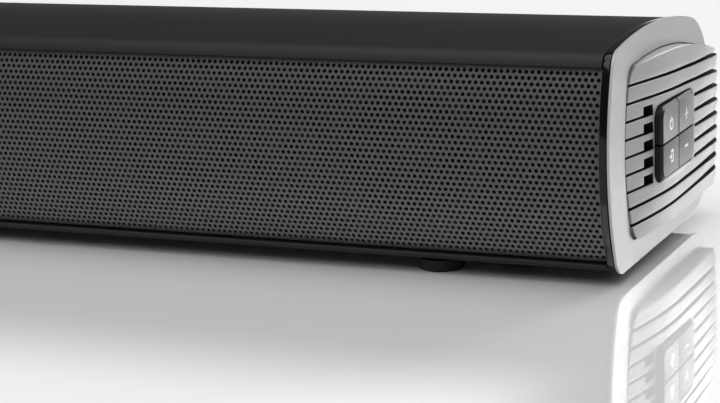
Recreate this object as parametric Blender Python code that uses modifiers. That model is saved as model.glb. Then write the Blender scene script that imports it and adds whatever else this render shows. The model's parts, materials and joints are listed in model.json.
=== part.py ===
"""Soundbar: an extruded-looking housing between two end frames, with louvred end caps,
a perforated front grille and four push buttons in the right-hand cap.

Metres, +Z up, +X along the bar to the listener's right, +Y to the wall.
The origin lies on the surface that the feet stand on, under the middle of the whole bar.
"""
import math

import bmesh
import bpy
from mathutils import Matrix, Vector

MM = 0.001

# Driving dimensions, in millimetres
BAR_LENGTH = 810.0  # from one end frame's outer face to the other's
BAR_DEPTH = 118.0
BODY_HEIGHT = 72.7  # end frame, from its flat bottom to its crest
FOOT_HEIGHT = 3.6  # clearance under the end frames
GAP = 0.3  # seam between pieces that touch

# Cross-section of the end frames; the housing follows it
FRONT_CURVE = 81.0
FRONT_CREST_Z = 37.4  # above the end frame's bottom
TOP_CURVE = 245.0
TOP_CREST_Y = -12.0
FRONT_TOP_RADIUS = 6.0
FRONT_BOTTOM_RADIUS = 8.0
BACK_TOP_RADIUS = 30.0
BACK_BOTTOM_RADIUS = 22.0

# Housing
HOUSING_INSET = 0.5  # the covers lie this far inside the end frames' outline
WALL = 2.4
REAR_FACE_Y = BAR_DEPTH / 2 - 9.0
REAR_THICKNESS = 2.6
COVER_SPLIT_Z = 30.0

# Grille and baffle
GRILLE_SETBACK = 2.7  # from the end frames' outline
GRILLE_SHEET = 0.8
GRILLE_TOP = 68.3
GRILLE_BOTTOM = 7.6
FRONT_BOW = FRONT_CURVE - math.sqrt(FRONT_CURVE**2 - 30.0**2)  # 30 mm from the crest
BAFFLE_FRONT_Y = -BAR_DEPTH / 2 + FRONT_BOW + 7.24
BAFFLE_THICKNESS = 6.0

# Ends
FRAME_THICKNESS = 3.0
FRAME_FLANGE = 0.8
BAND_WIDTH = 2.4
BAND_INSET = 0.4
BAND_WALL = 2.0
BULKHEAD_THICKNESS = 3.0
FRAME_FRONT_BORDER = 16.0
FRAME_TOP_BORDER = 8.6
FRAME_BOTTOM_BORDER = 7.6
WINDOW_RADIUS = 6.0
CAP_GAP = 0.4
CAP_WALL = 2.0
CAP_BACK_RADIUS = 8.0
CAP_BULGE = 5.4
CAP_RISE = 48.0  # depth over which the bulge rises from the front edge
CAP_FALL = 13.0  # depth over which it rounds off at the back

# Louvre slots, counted from the lowest
SLOT_COUNT = 9
SLOT_HEIGHT = 1.3
SLOT_DEPTH = 0.8  # below the end frame's face at the cap's edges
SLOT_FRONT_Z = 16.9
SLOT_FRONT_PITCH = 5.5
SLOT_BACK_Z = 17.7
SLOT_BACK_PITCH = 4.9
SLOT_FRONT_Y = -BAR_DEPTH / 2 + 18.0
SLOT_BACK_Y = BAR_DEPTH / 2 - 15.0
NOTCH_LENGTH = 7.0
NOTCH_HEIGHT = 3.4
CLUSTER_RIM = 1.5  # plain material in front of and behind the cluster, up to the slots
CLUSTER_EDGE = 1.4  # plain material above and below the cluster, up to the slots

# Button cluster
CLUSTER_FRONT_Y = -19.8
CLUSTER_BACK_Y = 17.2
CLUSTER_BOTTOM_Z = 27.3
CLUSTER_TOP_Z = 51.0
CLUSTER_RADIUS = 4.0
BUTTON_CLEARANCE = 0.5
BUTTON_SPLIT = 0.7
BUTTON_PROUD = 1.6
BUTTON_TRAVEL = 0.6
KEYMAT_THICKNESS = 1.0
SWITCH_BOARD_THICKNESS = 1.0

# Loudspeaker drivers
DRIVER_OFFSETS = (70.0, 150.0)  # from each end face to the driver's axis
DRIVER_Z = 38.0
DRIVER_FLANGE_RADIUS = 27.0
DRIVER_FLANGE = 2.2
DRIVER_BODY_RADIUS = 22.5
DRIVER_THROAT_RADIUS = 14.0
BASKET_WALL = 1.5
BASKET_DEPTH = 30.0
SURROUND_WIDTH = 3.4
SURROUND_HEIGHT = 1.8
VOICE_COIL_RADIUS = 5.7
VOICE_COIL_WALL = 0.4
VOICE_COIL_GAP = 0.4
CONE_THICKNESS = 0.6
CONE_TRAVEL = 2.0
MAGNET_RADIUS = 19.0
MAGNET_DEPTH = 14.0

# Boards and what they carry
BOARD_THICKNESS = 1.6
BOARD_Z = 14.0
STANDOFF_RADIUS = 3.0
AMPLIFIER_X = 60.0
AMPLIFIER_LENGTH = 150.0
POWER_X = -95.0
POWER_LENGTH = 100.0
BOARD_FRONT_Y = BAFFLE_FRONT_Y + 18.0
BOARD_BACK_CLEARANCE = 3.0
HEAT_SINK_LENGTH = 60.0
HEAT_SINK_HEIGHT = 26.0
HEAT_SINK_DEPTH = 12.0
FIN_COUNT = 8
FIN_THICKNESS = 1.5
TRANSFORMER_SIZE = (36.0, 32.0, 30.0)
CAPACITOR_RADIUS = 8.0
CAPACITOR_HEIGHT = 24.0

# Rear sockets
INLET_X = -120.0
INLET_WIDTH = 24.0
INLET_HEIGHT = 17.0
INLET_POCKET = (15.0, 8.6, 11.0)
PHONO_X = 90.0
PHONO_PITCH = 14.0
PHONO_COUNT = 2
PHONO_RADIUS = 4.2
PHONO_BLOCK_HEIGHT = 34.0
OPTICAL_X = 55.0
OPTICAL_SIZE = 11.0
AUX_X = 30.0
AUX_RADIUS = 4.0
SOCKET_Z = 34.0
SOCKET_CLEARANCE = 0.3

# Wall fixing, fasteners and feet
WALL_PLATE_LENGTH = 30.0  # steel hanging plate at each end of the back
INLET_FLANGE = 28.0  # the inlet's own stretch of the back
KEYHOLE_Z = 33.0
KEYHOLE_HEAD_RADIUS = 4.6
KEYHOLE_NECK_RADIUS = 2.4
KEYHOLE_RISE = 10.0
SCREW_XS = (-380.0, -190.0, 0.0, 0.0, 190.0, 380.0)
SCREW_LOW_Z = 17.5
SCREW_HIGH_Z = 50.5
SCREW_HEAD_RADIUS = 3.0
SCREW_HEAD_HEIGHT = 1.6
SCREW_RADIUS = 1.4
SCREW_LENGTH = 9.0
FOOT_RADIUS = 7.5
FOOT_END_INSET = 62.0
FOOT_FRONT_Y = -BAR_DEPTH / 2 + 19.0
FOOT_BACK_Y = BAR_DEPTH / 2 - 23.0

# Worked out from the above
HALF = BAR_LENGTH / 2
FRAME_BOTTOM = FOOT_HEIGHT
FRAME_TOP = FRAME_BOTTOM + BODY_HEIGHT
HOUSING_HALF = HALF - FRAME_THICKNESS - GAP - BAND_WALL / 4
BULKHEAD_OUTER = HALF - FRAME_THICKNESS - GAP
BULKHEAD_INNER = BULKHEAD_OUTER - BULKHEAD_THICKNESS
CORE_INSET = BAND_INSET + BAND_WALL + GAP  # the end frame's core sits inside the band
BULKHEAD_INSET = GRILLE_SETBACK + GRILLE_SHEET + 2 * GAP
BAY_INSET = HOUSING_INSET + WALL + GAP  # inner pieces stay inside this outline
BAFFLE_BACK_Y = BAFFLE_FRONT_Y + BAFFLE_THICKNESS
REAR_INNER_Y = REAR_FACE_Y - REAR_THICKNESS
CENTRE_SHIFT = -BUTTON_PROUD / 2  # the buttons stand out of one end only
ROUND = 20  # sides of the small turned pieces

FINISHES = {
    "charcoal_plastic": ((0.035, 0.035, 0.038), 0.55, 0.0),
    "black_sheet": ((0.03, 0.03, 0.032), 0.4, 0.6),
    "gloss_black": ((0.006, 0.006, 0.007), 0.08, 0.0),
    "silver_plastic": ((0.45, 0.45, 0.46), 0.35, 0.2),
    "louvre_grey": ((0.42, 0.42, 0.43), 0.4, 0.1),
    "button_grey": ((0.22, 0.22, 0.23), 0.45, 0.0),
    "black_plastic": ((0.015, 0.015, 0.016), 0.5, 0.0),
    "board_wood": ((0.05, 0.04, 0.035), 0.7, 0.0),
    "rubber": ((0.02, 0.02, 0.02), 0.8, 0.0),
    "circuit_board": ((0.02, 0.12, 0.05), 0.5, 0.0),
    "steel": ((0.5, 0.5, 0.5), 0.3, 1.0),
    "ferrite": ((0.05, 0.05, 0.055), 0.6, 0.3),
    "paper_cone": ((0.04, 0.04, 0.042), 0.8, 0.0),
    "aluminium": ((0.6, 0.6, 0.62), 0.35, 1.0),
    "copper_wound": ((0.45, 0.22, 0.08), 0.4, 0.7),
}

# Local axes of a flat outline: (outline x, outline y, thickness direction)
FACING = {
    "X": Matrix(((0, 0, 1), (1, 0, 0), (0, 1, 0))).to_4x4(),
    "Y": Matrix(((1, 0, 0), (0, 0, -1), (0, 1, 0))).to_4x4(),
    "Z": Matrix.Identity(4),
}
TURNED = {
    "X": Matrix.Rotation(math.pi / 2, 4, "Y"),
    "Y": Matrix.Rotation(-math.pi / 2, 4, "X"),
    "Z": Matrix.Identity(4),
}


# ---------------------------------------------------------------- scene


def start_scene():
    """An empty scene with one collection for the bar and one for its cutters."""
    for old in list(bpy.data.objects):
        bpy.data.objects.remove(old)
    collections = {}
    for name in ("soundbar", "cutters"):
        collections[name] = bpy.data.collections.new(name)
        bpy.context.scene.collection.children.link(collections[name])
    root = bpy.data.objects.new("soundbar_origin", None)
    root.location = (CENTRE_SHIFT * MM, 0, 0)
    collections["soundbar"].objects.link(root)
    bpy.context.view_layer.update()
    return collections["soundbar"], collections["cutters"], root


BAR, CUTTERS, ROOT = start_scene()
MATERIALS = {}


def material(name):
    if name not in MATERIALS:
        colour, roughness, metallic = FINISHES[name]
        made = bpy.data.materials.new(name)
        made.use_nodes = True
        shader = made.node_tree.nodes["Principled BSDF"]
        shader.inputs["Base Color"].default_value = (*colour, 1)
        shader.inputs["Roughness"].default_value = roughness
        shader.inputs["Metallic"].default_value = metallic
        MATERIALS[name] = made
    return MATERIALS[name]


def piece(name, mesh, finish, origin=(0, 0, 0)):
    """A named part of the bar; origin is its local origin, in millimetres."""
    mesh.name = name
    mesh.materials.clear()
    mesh.materials.append(material(finish))
    place = Vector(origin) * MM
    mesh.transform(Matrix.Translation(-place))
    made = bpy.data.objects.new(name, mesh)
    made.location = place
    made.parent = ROOT
    BAR.objects.link(made)
    return made


def cutter(name, mesh):
    mesh.name = name
    made = bpy.data.objects.new(name, mesh)
    made.parent = ROOT
    made.hide_render = True
    made.display_type = "WIRE"
    CUTTERS.objects.link(made)
    return made


def boolean(target, tool, operation="DIFFERENCE"):
    step = target.modifiers.new(tool.name, "BOOLEAN")
    step.object = tool
    step.operation = operation


def rounded(target, width, segments=2, angle=40):
    """Rounds the sharp edges of a piece."""
    step = target.modifiers.new("rounded edges", "BEVEL")
    step.width = width * MM
    step.segments = segments
    step.limit_method = "ANGLE"
    step.angle_limit = math.radians(angle)


# ---------------------------------------------------------------- mesh makers


def plate_mesh(outlines, low, high, facing):
    """A flat outline, with any holes after it, made as thick as low to high along facing."""
    curve = bpy.data.curves.new("outline", "CURVE")
    curve.dimensions = "2D"
    curve.fill_mode = "BOTH"
    curve.extrude = (high - low) / 2 * MM
    for outline in outlines:
        spline = curve.splines.new("POLY")
        spline.points.add(len(outline) - 1)
        for point, (a, b) in zip(spline.points, outline):
            point.co = (a * MM, b * MM, 0, 1)
        spline.use_cyclic_u = True
    drawn = bpy.data.objects.new("outline", curve)
    BAR.objects.link(drawn)
    seen = drawn.evaluated_get(bpy.context.evaluated_depsgraph_get())
    mesh = bpy.data.meshes.new_from_object(seen)
    bpy.data.objects.remove(drawn)
    bpy.data.curves.remove(curve)
    shape = bmesh.new()
    shape.from_mesh(mesh)
    bmesh.ops.remove_doubles(shape, verts=shape.verts, dist=0.00001)
    bmesh.ops.recalc_face_normals(shape, faces=shape.faces)
    shape.to_mesh(mesh)
    shape.free()
    middle = (low + high) / 2 * MM
    shift = {"X": (middle, 0, 0), "Y": (0, middle, 0), "Z": (0, 0, middle)}[facing]
    mesh.transform(Matrix.Translation(shift) @ FACING[facing])
    return mesh


def box_mesh(low, high):
    low, high = Vector(low), Vector(high)
    mesh = bpy.data.meshes.new("box")
    shape = bmesh.new()
    size = Matrix.Diagonal((*((high - low) * MM), 1))
    bmesh.ops.create_cube(shape, size=1, matrix=Matrix.Translation((low + high) / 2 * MM) @ size)
    shape.to_mesh(mesh)
    shape.free()
    return mesh


def rod_mesh(radius, low, high, centre, facing, sides=ROUND):
    """A cylinder from low to high along facing; centre gives its other two coordinates."""
    a, b = centre
    middle = (low + high) / 2
    place = {"X": (middle, a, b), "Y": (a, middle, b), "Z": (a, b, middle)}[facing]
    mesh = bpy.data.meshes.new("rod")
    shape = bmesh.new()
    bmesh.ops.create_cone(
        shape,
        cap_ends=True,
        segments=sides,
        radius1=radius * MM,
        radius2=radius * MM,
        depth=(high - low) * MM,
        matrix=Matrix.Translation(Vector(place) * MM) @ TURNED[facing],
    )
    shape.to_mesh(mesh)
    shape.free()
    return mesh


def turned_mesh(profile, centre, facing, sides=ROUND):
    """A closed profile of (radius, distance along facing) turned about the axis at centre."""
    mesh = bpy.data.meshes.new("profile")
    shape = bmesh.new()
    corners = [shape.verts.new((radius * MM, 0, along * MM)) for radius, along in profile]
    for first, second in zip(corners, corners[1:] + corners[:1]):
        if first.co.x > 0 or second.co.x > 0:
            shape.edges.new((first, second))
    shape.to_mesh(mesh)
    shape.free()
    drawn = bpy.data.objects.new("profile", mesh)
    BAR.objects.link(drawn)
    spin = drawn.modifiers.new("turn", "SCREW")
    spin.steps = sides
    spin.render_steps = sides
    spin.use_merge_vertices = True
    spin.merge_threshold = 0.00001
    seen = drawn.evaluated_get(bpy.context.evaluated_depsgraph_get())
    made = bpy.data.meshes.new_from_object(seen)
    bpy.data.objects.remove(drawn)
    bpy.data.meshes.remove(mesh)
    shape = bmesh.new()
    shape.from_mesh(made)
    bmesh.ops.remove_doubles(shape, verts=shape.verts, dist=0.00001)
    bmesh.ops.recalc_face_normals(shape, faces=shape.faces)
    shape.to_mesh(made)
    shape.free()
    a, b = centre
    place = {"X": (0, a, b), "Y": (a, 0, b), "Z": (a, b, 0)}[facing]
    made.transform(Matrix.Translation(Vector(place) * MM) @ TURNED[facing])
    made.shade_smooth()
    made.set_sharp_from_angle(angle=math.radians(35))
    return made


def mirrored(mesh):
    """A copy of a right-hand end's mesh for the left-hand end."""
    copy = mesh.copy()
    copy.transform(Matrix.Scale(-1, 4, (1, 0, 0)))
    copy.flip_normals()
    return copy


# ---------------------------------------------------------------- cross-section


class Flat:
    """A straight side, given by a point on it and its outward direction."""

    def __init__(self, point, outward):
        self.point, self.normal = Vector(point), Vector(outward)

    def depth(self, point):
        return -(point - self.point).dot(self.normal)

    def outward(self, point):
        return self.normal

    def inset(self, by):
        return Flat(self.point - self.normal * by, self.normal)


class Bow:
    """A gently bowed side, given by its arc's centre and radius."""

    def __init__(self, centre, radius):
        self.centre, self.radius = Vector(centre), radius

    def depth(self, point):
        return self.radius - (point - self.centre).length

    def outward(self, point):
        return (point - self.centre).normalized()

    def inset(self, by):
        return Bow(self.centre, self.radius - by)


FRONT_SIDE = Bow((-BAR_DEPTH / 2 + FRONT_CURVE, FRAME_BOTTOM + FRONT_CREST_Z), FRONT_CURVE)
TOP_SIDE = Bow((TOP_CREST_Y, FRAME_TOP - TOP_CURVE), TOP_CURVE)
BACK_SIDE = Flat((BAR_DEPTH / 2, 0), (1, 0))
BOTTOM_SIDE = Flat((0, FRAME_BOTTOM), (0, -1))


def corner_centre(first, second, radius):
    """The centre of the arc that rounds the corner between two sides."""
    centre = Vector((0, (FRAME_BOTTOM + FRAME_TOP) / 2))
    for _ in range(60):
        miss_a, miss_b = first.depth(centre) - radius, second.depth(centre) - radius
        a, b = first.outward(centre), second.outward(centre)
        grip = a.x * b.y - a.y * b.x
        centre += Vector((miss_a * b.y - miss_b * a.y, miss_b * a.x - miss_a * b.x)) / grip
    return centre


def outline(front, top, back, bottom, radii, steps=6):
    """A closed section of four sides with rounded corners, as (y, z) points."""
    sides = (front, top, back, bottom)
    points = []
    for i, radius in enumerate(radii):
        first, second = sides[i], sides[(i + 1) % 4]
        centre = corner_centre(first, second, radius)
        start, end = first.outward(centre), second.outward(centre)
        turn = start.angle(end)
        for k in range(steps + 1):
            share = k / steps
            direction = start * math.sin((1 - share) * turn) + end * math.sin(share * turn)
            points.append(centre + direction / math.sin(turn) * radius)
        if isinstance(second, Bow):
            after = corner_centre(second, sides[(i + 2) % 4], radii[(i + 1) % 4])
            points += bow_points(second, end, second.outward(after), steps)
    return [(point.x, point.y) for point in points]


def bow_points(side, start, end, steps):
    """Points between two directions on a bowed side, without the ends."""
    turn = start.angle(end)
    between = []
    for k in range(1, steps):
        share = k / steps
        direction = start * math.sin((1 - share) * turn) + end * math.sin(share * turn)
        between.append(side.centre + direction / math.sin(turn) * side.radius)
    return between


def section(inset):
    """The end frame's outline, moved inwards by inset."""
    radii = (FRONT_TOP_RADIUS, BACK_TOP_RADIUS, BACK_BOTTOM_RADIUS, FRONT_BOTTOM_RADIUS)
    sides = [side.inset(inset) for side in (FRONT_SIDE, TOP_SIDE, BACK_SIDE, BOTTOM_SIDE)]
    return outline(*sides, [max(radius - inset, 1) for radius in radii])


def section_heights(inset, y):
    """Where a section's bottom and top lie at depth y."""
    points = section(inset)
    found = []
    for (y1, z1), (y2, z2) in zip(points, points[1:] + points[:1]):
        if (y1 - y) * (y2 - y) < 0:
            found.append(z1 + (z2 - z1) * (y - y1) / (y2 - y1))
    return min(found), max(found)


def window(inset, back_y, back_radius):
    """The end frame's opening, moved inwards by inset; it runs out at the back."""
    return outline(
        FRONT_SIDE.inset(FRAME_FRONT_BORDER + inset),
        TOP_SIDE.inset(FRAME_TOP_BORDER + inset),
        Flat((back_y, 0), (1, 0)),
        BOTTOM_SIDE.inset(FRAME_BOTTOM_BORDER + inset),
        (WINDOW_RADIUS - inset, back_radius, back_radius, WINDOW_RADIUS - inset),
    )


def bulge(y):
    """How far the end cap stands out of the end frame's face at depth y."""
    front_y = -BAR_DEPTH / 2 + FRAME_FRONT_BORDER
    fall_y = BAR_DEPTH / 2 - CAP_FALL
    if y < front_y + CAP_RISE:
        share = max((y - front_y) / CAP_RISE, 0)
        return CAP_BULGE * (1 - math.cos(math.pi * share)) / 2
    if y > fall_y:
        share = min((y - fall_y) / CAP_FALL, 1)
        return CAP_BULGE * math.sqrt(max(1 - share**2, 0.01))
    return CAP_BULGE


def bulge_slab(low, proud, bottom=-10.0, top=110.0):
    """Everything between x = low and the bulging surface moved out by proud."""
    front_y, back_y = -BAR_DEPTH / 2 - 5, BAR_DEPTH / 2 + 5
    count = 26
    depths = [front_y + (back_y - front_y) * k / count for k in range(count + 1)]
    surface = [(HALF + bulge(y) + proud, y) for y in depths]
    return plate_mesh([[(low, back_y), (low, front_y), *surface]], bottom, top, "Z")


# ---------------------------------------------------------------- housing


def housing_shell(name, finish, cuts):
    ring = [section(HOUSING_INSET), section(HOUSING_INSET + WALL)]
    made = piece(name, plate_mesh(ring, -HOUSING_HALF, HOUSING_HALF, "X"), finish)
    for label, low, high in cuts:
        boolean(made, cutter(f"{name}_{label}", box_mesh(low, high)))
    return made


def build_covers():
    wide, far = HALF + 20, BAR_DEPTH
    behind = ((-wide, REAR_FACE_Y, -20), (wide, far, 120))
    housing_shell(
        "top_cover",
        "charcoal_plastic",
        [
            ("front_opening", (-wide, -far, -20), (wide, 0, GRILLE_TOP + GAP)),
            ("lower_half", (-wide, -10, -20), (wide, far, COVER_SPLIT_Z)),
            ("rear_opening", *behind),
        ],
    )
    bottom = housing_shell(
        "bottom_cover",
        "black_plastic",
        [
            ("front_opening", (-wide, -far, GRILLE_BOTTOM - GAP), (wide, 0, 120)),
            ("upper_half", (-wide, -10, COVER_SPLIT_Z), (wide, far, 120)),
            ("rear_opening", *behind),
        ],
    )
    floor = FRAME_BOTTOM + HOUSING_INSET + WALL
    for k, (x, y) in enumerate(standoff_places()):
        post = rod_mesh(STANDOFF_RADIUS, floor - 0.8, BOARD_Z - GAP, (x, y), "Z", 12)
        boolean(bottom, cutter(f"standoff_{k + 1}", post), "UNION")


def board_corners(centre_x, length):
    back_y = REAR_INNER_Y - BOARD_BACK_CLEARANCE
    return centre_x - length / 2, centre_x + length / 2, BOARD_FRONT_Y, back_y


def standoff_places():
    places = []
    for centre_x, length in ((AMPLIFIER_X, AMPLIFIER_LENGTH), (POWER_X, POWER_LENGTH)):
        low_x, high_x, low_y, high_y = board_corners(centre_x, length)
        edge = 2 * STANDOFF_RADIUS
        for x in (low_x + edge, high_x - edge):
            places += [(x, low_y + edge), (x, high_y - 2 * edge)]
    return places


def keyhole(centre_x):
    """A keyhole outline: a round mouth below a narrow neck."""
    lean = math.asin(KEYHOLE_NECK_RADIUS / KEYHOLE_HEAD_RADIUS)
    points = []
    for k in range(17):
        turn = math.pi / 2 + lean + (2 * math.pi - 2 * lean) * k / 16
        reach = KEYHOLE_HEAD_RADIUS
        points.append((centre_x + reach * math.cos(turn), KEYHOLE_Z + reach * math.sin(turn)))
    for k in range(9):
        turn = math.pi * k / 8
        reach = KEYHOLE_NECK_RADIUS
        height = KEYHOLE_Z + KEYHOLE_RISE
        points.append((centre_x + reach * math.cos(turn), height + reach * math.sin(turn)))
    return points


def circle(centre, radius, sides=ROUND):
    turns = [2 * math.pi * k / sides for k in range(sides)]
    return [(centre[0] + radius * math.cos(t), centre[1] + radius * math.sin(t)) for t in turns]


def rectangle(centre, width, height):
    a, b = centre
    w, h = width / 2, height / 2
    return [(a - w, b - h), (a + w, b - h), (a + w, b + h), (a - w, b + h)]


def screw_places():
    heights = (SCREW_LOW_Z, SCREW_HIGH_Z, SCREW_LOW_Z, SCREW_HIGH_Z, SCREW_HIGH_Z, SCREW_LOW_Z)
    return list(zip(SCREW_XS, heights))


def phono_places():
    rows = (-PHONO_PITCH / 2, PHONO_PITCH / 2)
    columns = [(k - (PHONO_COUNT - 1) / 2) * PHONO_PITCH for k in range(PHONO_COUNT)]
    return [(PHONO_X + column, SOCKET_Z + row) for column in columns for row in rows]


def rear_plate(start_x, end_x, holes):
    """A full-height stretch of the back, with a seam's clearance at each end."""
    low, high = section_heights(BAY_INSET, REAR_FACE_Y)
    edge = rectangle(((start_x + end_x) / 2, (low + high) / 2), end_x - start_x - GAP, high - low)
    return plate_mesh([edge, *holes], REAR_INNER_Y, REAR_FACE_Y, "Y")


def inlet_span():
    return INLET_X - INLET_FLANGE / 2, INLET_X + INLET_FLANGE / 2


def build_rear_panels():
    """From left to right: a hanging plate, a panel, the inlet's flange, a panel, a plate."""
    end = BULKHEAD_INNER - GAP / 2
    inner = end - WALL_PLATE_LENGTH
    inlet_start, inlet_end = inlet_span()
    keyhole_x = (end + inner) / 2
    screws = [(x, circle((x, z), SCREW_RADIUS + GAP, 12)) for x, z in screw_places()]
    sockets = [circle(place, PHONO_RADIUS + SOCKET_CLEARANCE) for place in phono_places()]
    sockets.append(circle((AUX_X, SOCKET_Z), AUX_RADIUS + SOCKET_CLEARANCE))
    optical = OPTICAL_SIZE + 2 * SOCKET_CLEARANCE
    sockets.append(rectangle((OPTICAL_X, SOCKET_Z), optical, optical))
    stretches = (
        ("wall_plate_left", "black_sheet", -end, -inner, [keyhole(-keyhole_x)]),
        ("rear_panel_left", "charcoal_plastic", -inner, inlet_start, []),
        ("rear_panel_right", "charcoal_plastic", inlet_end, inner, sockets),
        ("wall_plate_right", "black_sheet", inner, end, [keyhole(keyhole_x)]),
    )
    for name, finish, start_x, end_x, holes in stretches:
        holes = holes + [hole for x, hole in screws if start_x < x < end_x]
        piece(name, rear_plate(start_x, end_x, holes), finish)


def build_grille():
    """A bowed sheet with a short return along its top and bottom edges."""
    outer, inner = (FRONT_SIDE.inset(GRILLE_SETBACK + t) for t in (0, GRILLE_SHEET))

    def bow_at(side, z):
        return side.centre.x - math.sqrt(side.radius**2 - (z - side.centre.y) ** 2)

    steps = 14
    back_y = BAFFLE_FRONT_Y - GAP
    heights = [GRILLE_BOTTOM + (GRILLE_TOP - GRILLE_BOTTOM) * k / steps for k in range(steps + 1)]
    low, high = GRILLE_BOTTOM + GRILLE_SHEET, GRILLE_TOP - GRILLE_SHEET
    inside = [low + (high - low) * k / steps for k in range(steps + 1)]
    loop = [(bow_at(outer, z), z) for z in heights]
    loop += [(back_y, GRILLE_TOP), (back_y, high)]
    loop += [(bow_at(inner, z), z) for z in reversed(inside)]
    loop += [(back_y, low), (back_y, GRILLE_BOTTOM)]
    piece("front_grille", plate_mesh([loop], -HOUSING_HALF, HOUSING_HALF, "X"), "black_sheet")


def build_baffle():
    lows, highs = zip(*(section_heights(BAY_INSET, y) for y in (BAFFLE_FRONT_Y, BAFFLE_BACK_Y)))
    low, high = max(lows), min(highs)
    edge = rectangle((0, (low + high) / 2), 2 * (BULKHEAD_INNER - GAP), high - low)
    holes = [circle((x, DRIVER_Z), DRIVER_BODY_RADIUS + GAP, 28) for x in driver_places()]
    mesh = plate_mesh([edge, *holes], BAFFLE_FRONT_Y, BAFFLE_BACK_Y, "Y")
    piece("front_baffle", mesh, "board_wood")


# ---------------------------------------------------------------- ends


def both_ends(name, mesh, finish):
    """The right-hand piece and its mirror image; returns the two objects."""
    left = mirrored(mesh)
    return piece(f"{name}_right", mesh, finish), piece(f"{name}_left", left, finish)


def cutter_pair(name, mesh):
    left = mirrored(mesh)
    return cutter(f"{name}_right", mesh), cutter(f"{name}_left", left)


def apply_pair(targets, tools, operation="DIFFERENCE"):
    for target, tool in zip(targets, tools):
        boolean(target, tool, operation)


def build_end_frames():
    flange = plate_mesh([section(0)], HALF - FRAME_FLANGE, HALF, "X")
    frames = both_ends("end_frame", flange, "silver_plastic")
    core = plate_mesh([section(CORE_INSET)], HALF - FRAME_THICKNESS, HALF - FRAME_FLANGE / 2, "X")
    apply_pair(frames, cutter_pair("frame_core", core), "UNION")
    opening = plate_mesh([window(0, BAR_DEPTH, WINDOW_RADIUS)], HALF - 20, HALF + 20, "X")
    apply_pair(frames, cutter_pair("frame_window", opening))


def build_end_bands():
    ring = [section(BAND_INSET), section(BAND_INSET + BAND_WALL)]
    outer = HALF - FRAME_FLANGE - GAP
    both_ends("end_band", plate_mesh(ring, outer - BAND_WIDTH, outer, "X"), "gloss_black")


def build_bulkheads():
    """The cabinet's end walls, from the baffle's front to the back."""
    mesh = plate_mesh([section(BULKHEAD_INSET)], BULKHEAD_INNER, BULKHEAD_OUTER, "X")
    walls = both_ends("end_bulkhead", mesh, "black_plastic")
    front = box_mesh((BULKHEAD_INNER - 5, -BAR_DEPTH, -20), (HALF, BAFFLE_FRONT_Y, 120))
    apply_pair(walls, cutter_pair("bulkhead_front", front))


def slot_line(k, y):
    """Height of the k-th slot's middle at depth y."""
    front = SLOT_FRONT_Z + k * SLOT_FRONT_PITCH
    back = SLOT_BACK_Z + k * SLOT_BACK_PITCH
    return front + (back - front) * (y - SLOT_FRONT_Y) / (SLOT_BACK_Y - SLOT_FRONT_Y)


def slot_strip(k, start_y, end_y, lift=0.0, height=SLOT_HEIGHT):
    """The outline of a length of the k-th slot, seen from the end."""
    half = height / 2
    start, end = slot_line(k, start_y) + lift, slot_line(k, end_y) + lift
    low = [(start_y, start - half), (end_y, end - half)]
    high = [(end_y, end + half), (start_y, start + half)]
    return low + high


def interrupted(k):
    """Whether the button cluster stands in the k-th slot's way."""
    middle = slot_line(k, (CLUSTER_FRONT_Y + CLUSTER_BACK_Y) / 2)
    margin = CLUSTER_EDGE + SLOT_HEIGHT / 2
    return CLUSTER_BOTTOM_Z - margin < middle < CLUSTER_TOP_Z + margin


def slot_cutters(with_cluster):
    low, high = HALF - SLOT_DEPTH, HALF + 20
    front_y, back_y = -BAR_DEPTH / 2 + 2, BAR_DEPTH / 2 + 2
    strips = []
    for k in range(SLOT_COUNT):
        if not (with_cluster and interrupted(k)):
            strips.append(slot_strip(k, front_y, back_y))
            continue
        left_end, right_start = CLUSTER_FRONT_Y - CLUSTER_RIM, CLUSTER_BACK_Y + CLUSTER_RIM
        lift = (NOTCH_HEIGHT - SLOT_HEIGHT) / 2
        notch_y = left_end - NOTCH_LENGTH
        strips.append(slot_strip(k, front_y, notch_y + 0.5))
        strips.append(slot_strip(k, notch_y, left_end, lift, NOTCH_HEIGHT))
        strips.append(slot_strip(k, right_start, back_y))
    return [plate_mesh([strip], low, high, "X") for strip in strips]


def build_end_caps():
    low = HALF - FRAME_THICKNESS
    back_y = BAR_DEPTH / 2
    face = window(CAP_GAP, back_y, CAP_BACK_RADIUS)
    body = plate_mesh([face], HALF - FRAME_FLANGE, HALF + 20, "X")
    caps = both_ends("end_cap", body, "louvre_grey")
    skirts = cutter_pair("cap_skirt", plate_mesh([face], low, HALF, "X"))
    seat = plate_mesh([section(CORE_INSET + GAP)], low - 5, HALF + 5, "X")
    apply_pair(skirts, cutter_pair("cap_skirt_seat", seat), "INTERSECT")
    apply_pair(caps, skirts, "UNION")
    apply_pair(caps, cutter_pair("cap_surface", bulge_slab(low - 5, 0)), "INTERSECT")

    inside = window(CAP_GAP + CAP_WALL, back_y - CORE_INSET - CAP_WALL, CAP_BACK_RADIUS)
    hollow = cutter_pair("cap_hollow", plate_mesh([inside], low - 10, HALF + 20, "X"))
    limit = cutter_pair("cap_hollow_surface", bulge_slab(low - 20, -CAP_WALL))
    apply_pair(hollow, limit, "INTERSECT")
    apply_pair(caps, hollow)

    for n, mesh in enumerate(slot_cutters(True)):
        boolean(caps[0], cutter(f"slot_right_{n + 1}", mesh))
    for n, mesh in enumerate(slot_cutters(False)):
        boolean(caps[1], cutter(f"slot_left_{n + 1}", mirrored(mesh)))
    opening = plate_mesh([cluster_outline(BUTTON_CLEARANCE)], HALF - 20, HALF + 20, "X")
    boolean(caps[0], cutter("cluster_opening", opening))


# ---------------------------------------------------------------- buttons


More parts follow.
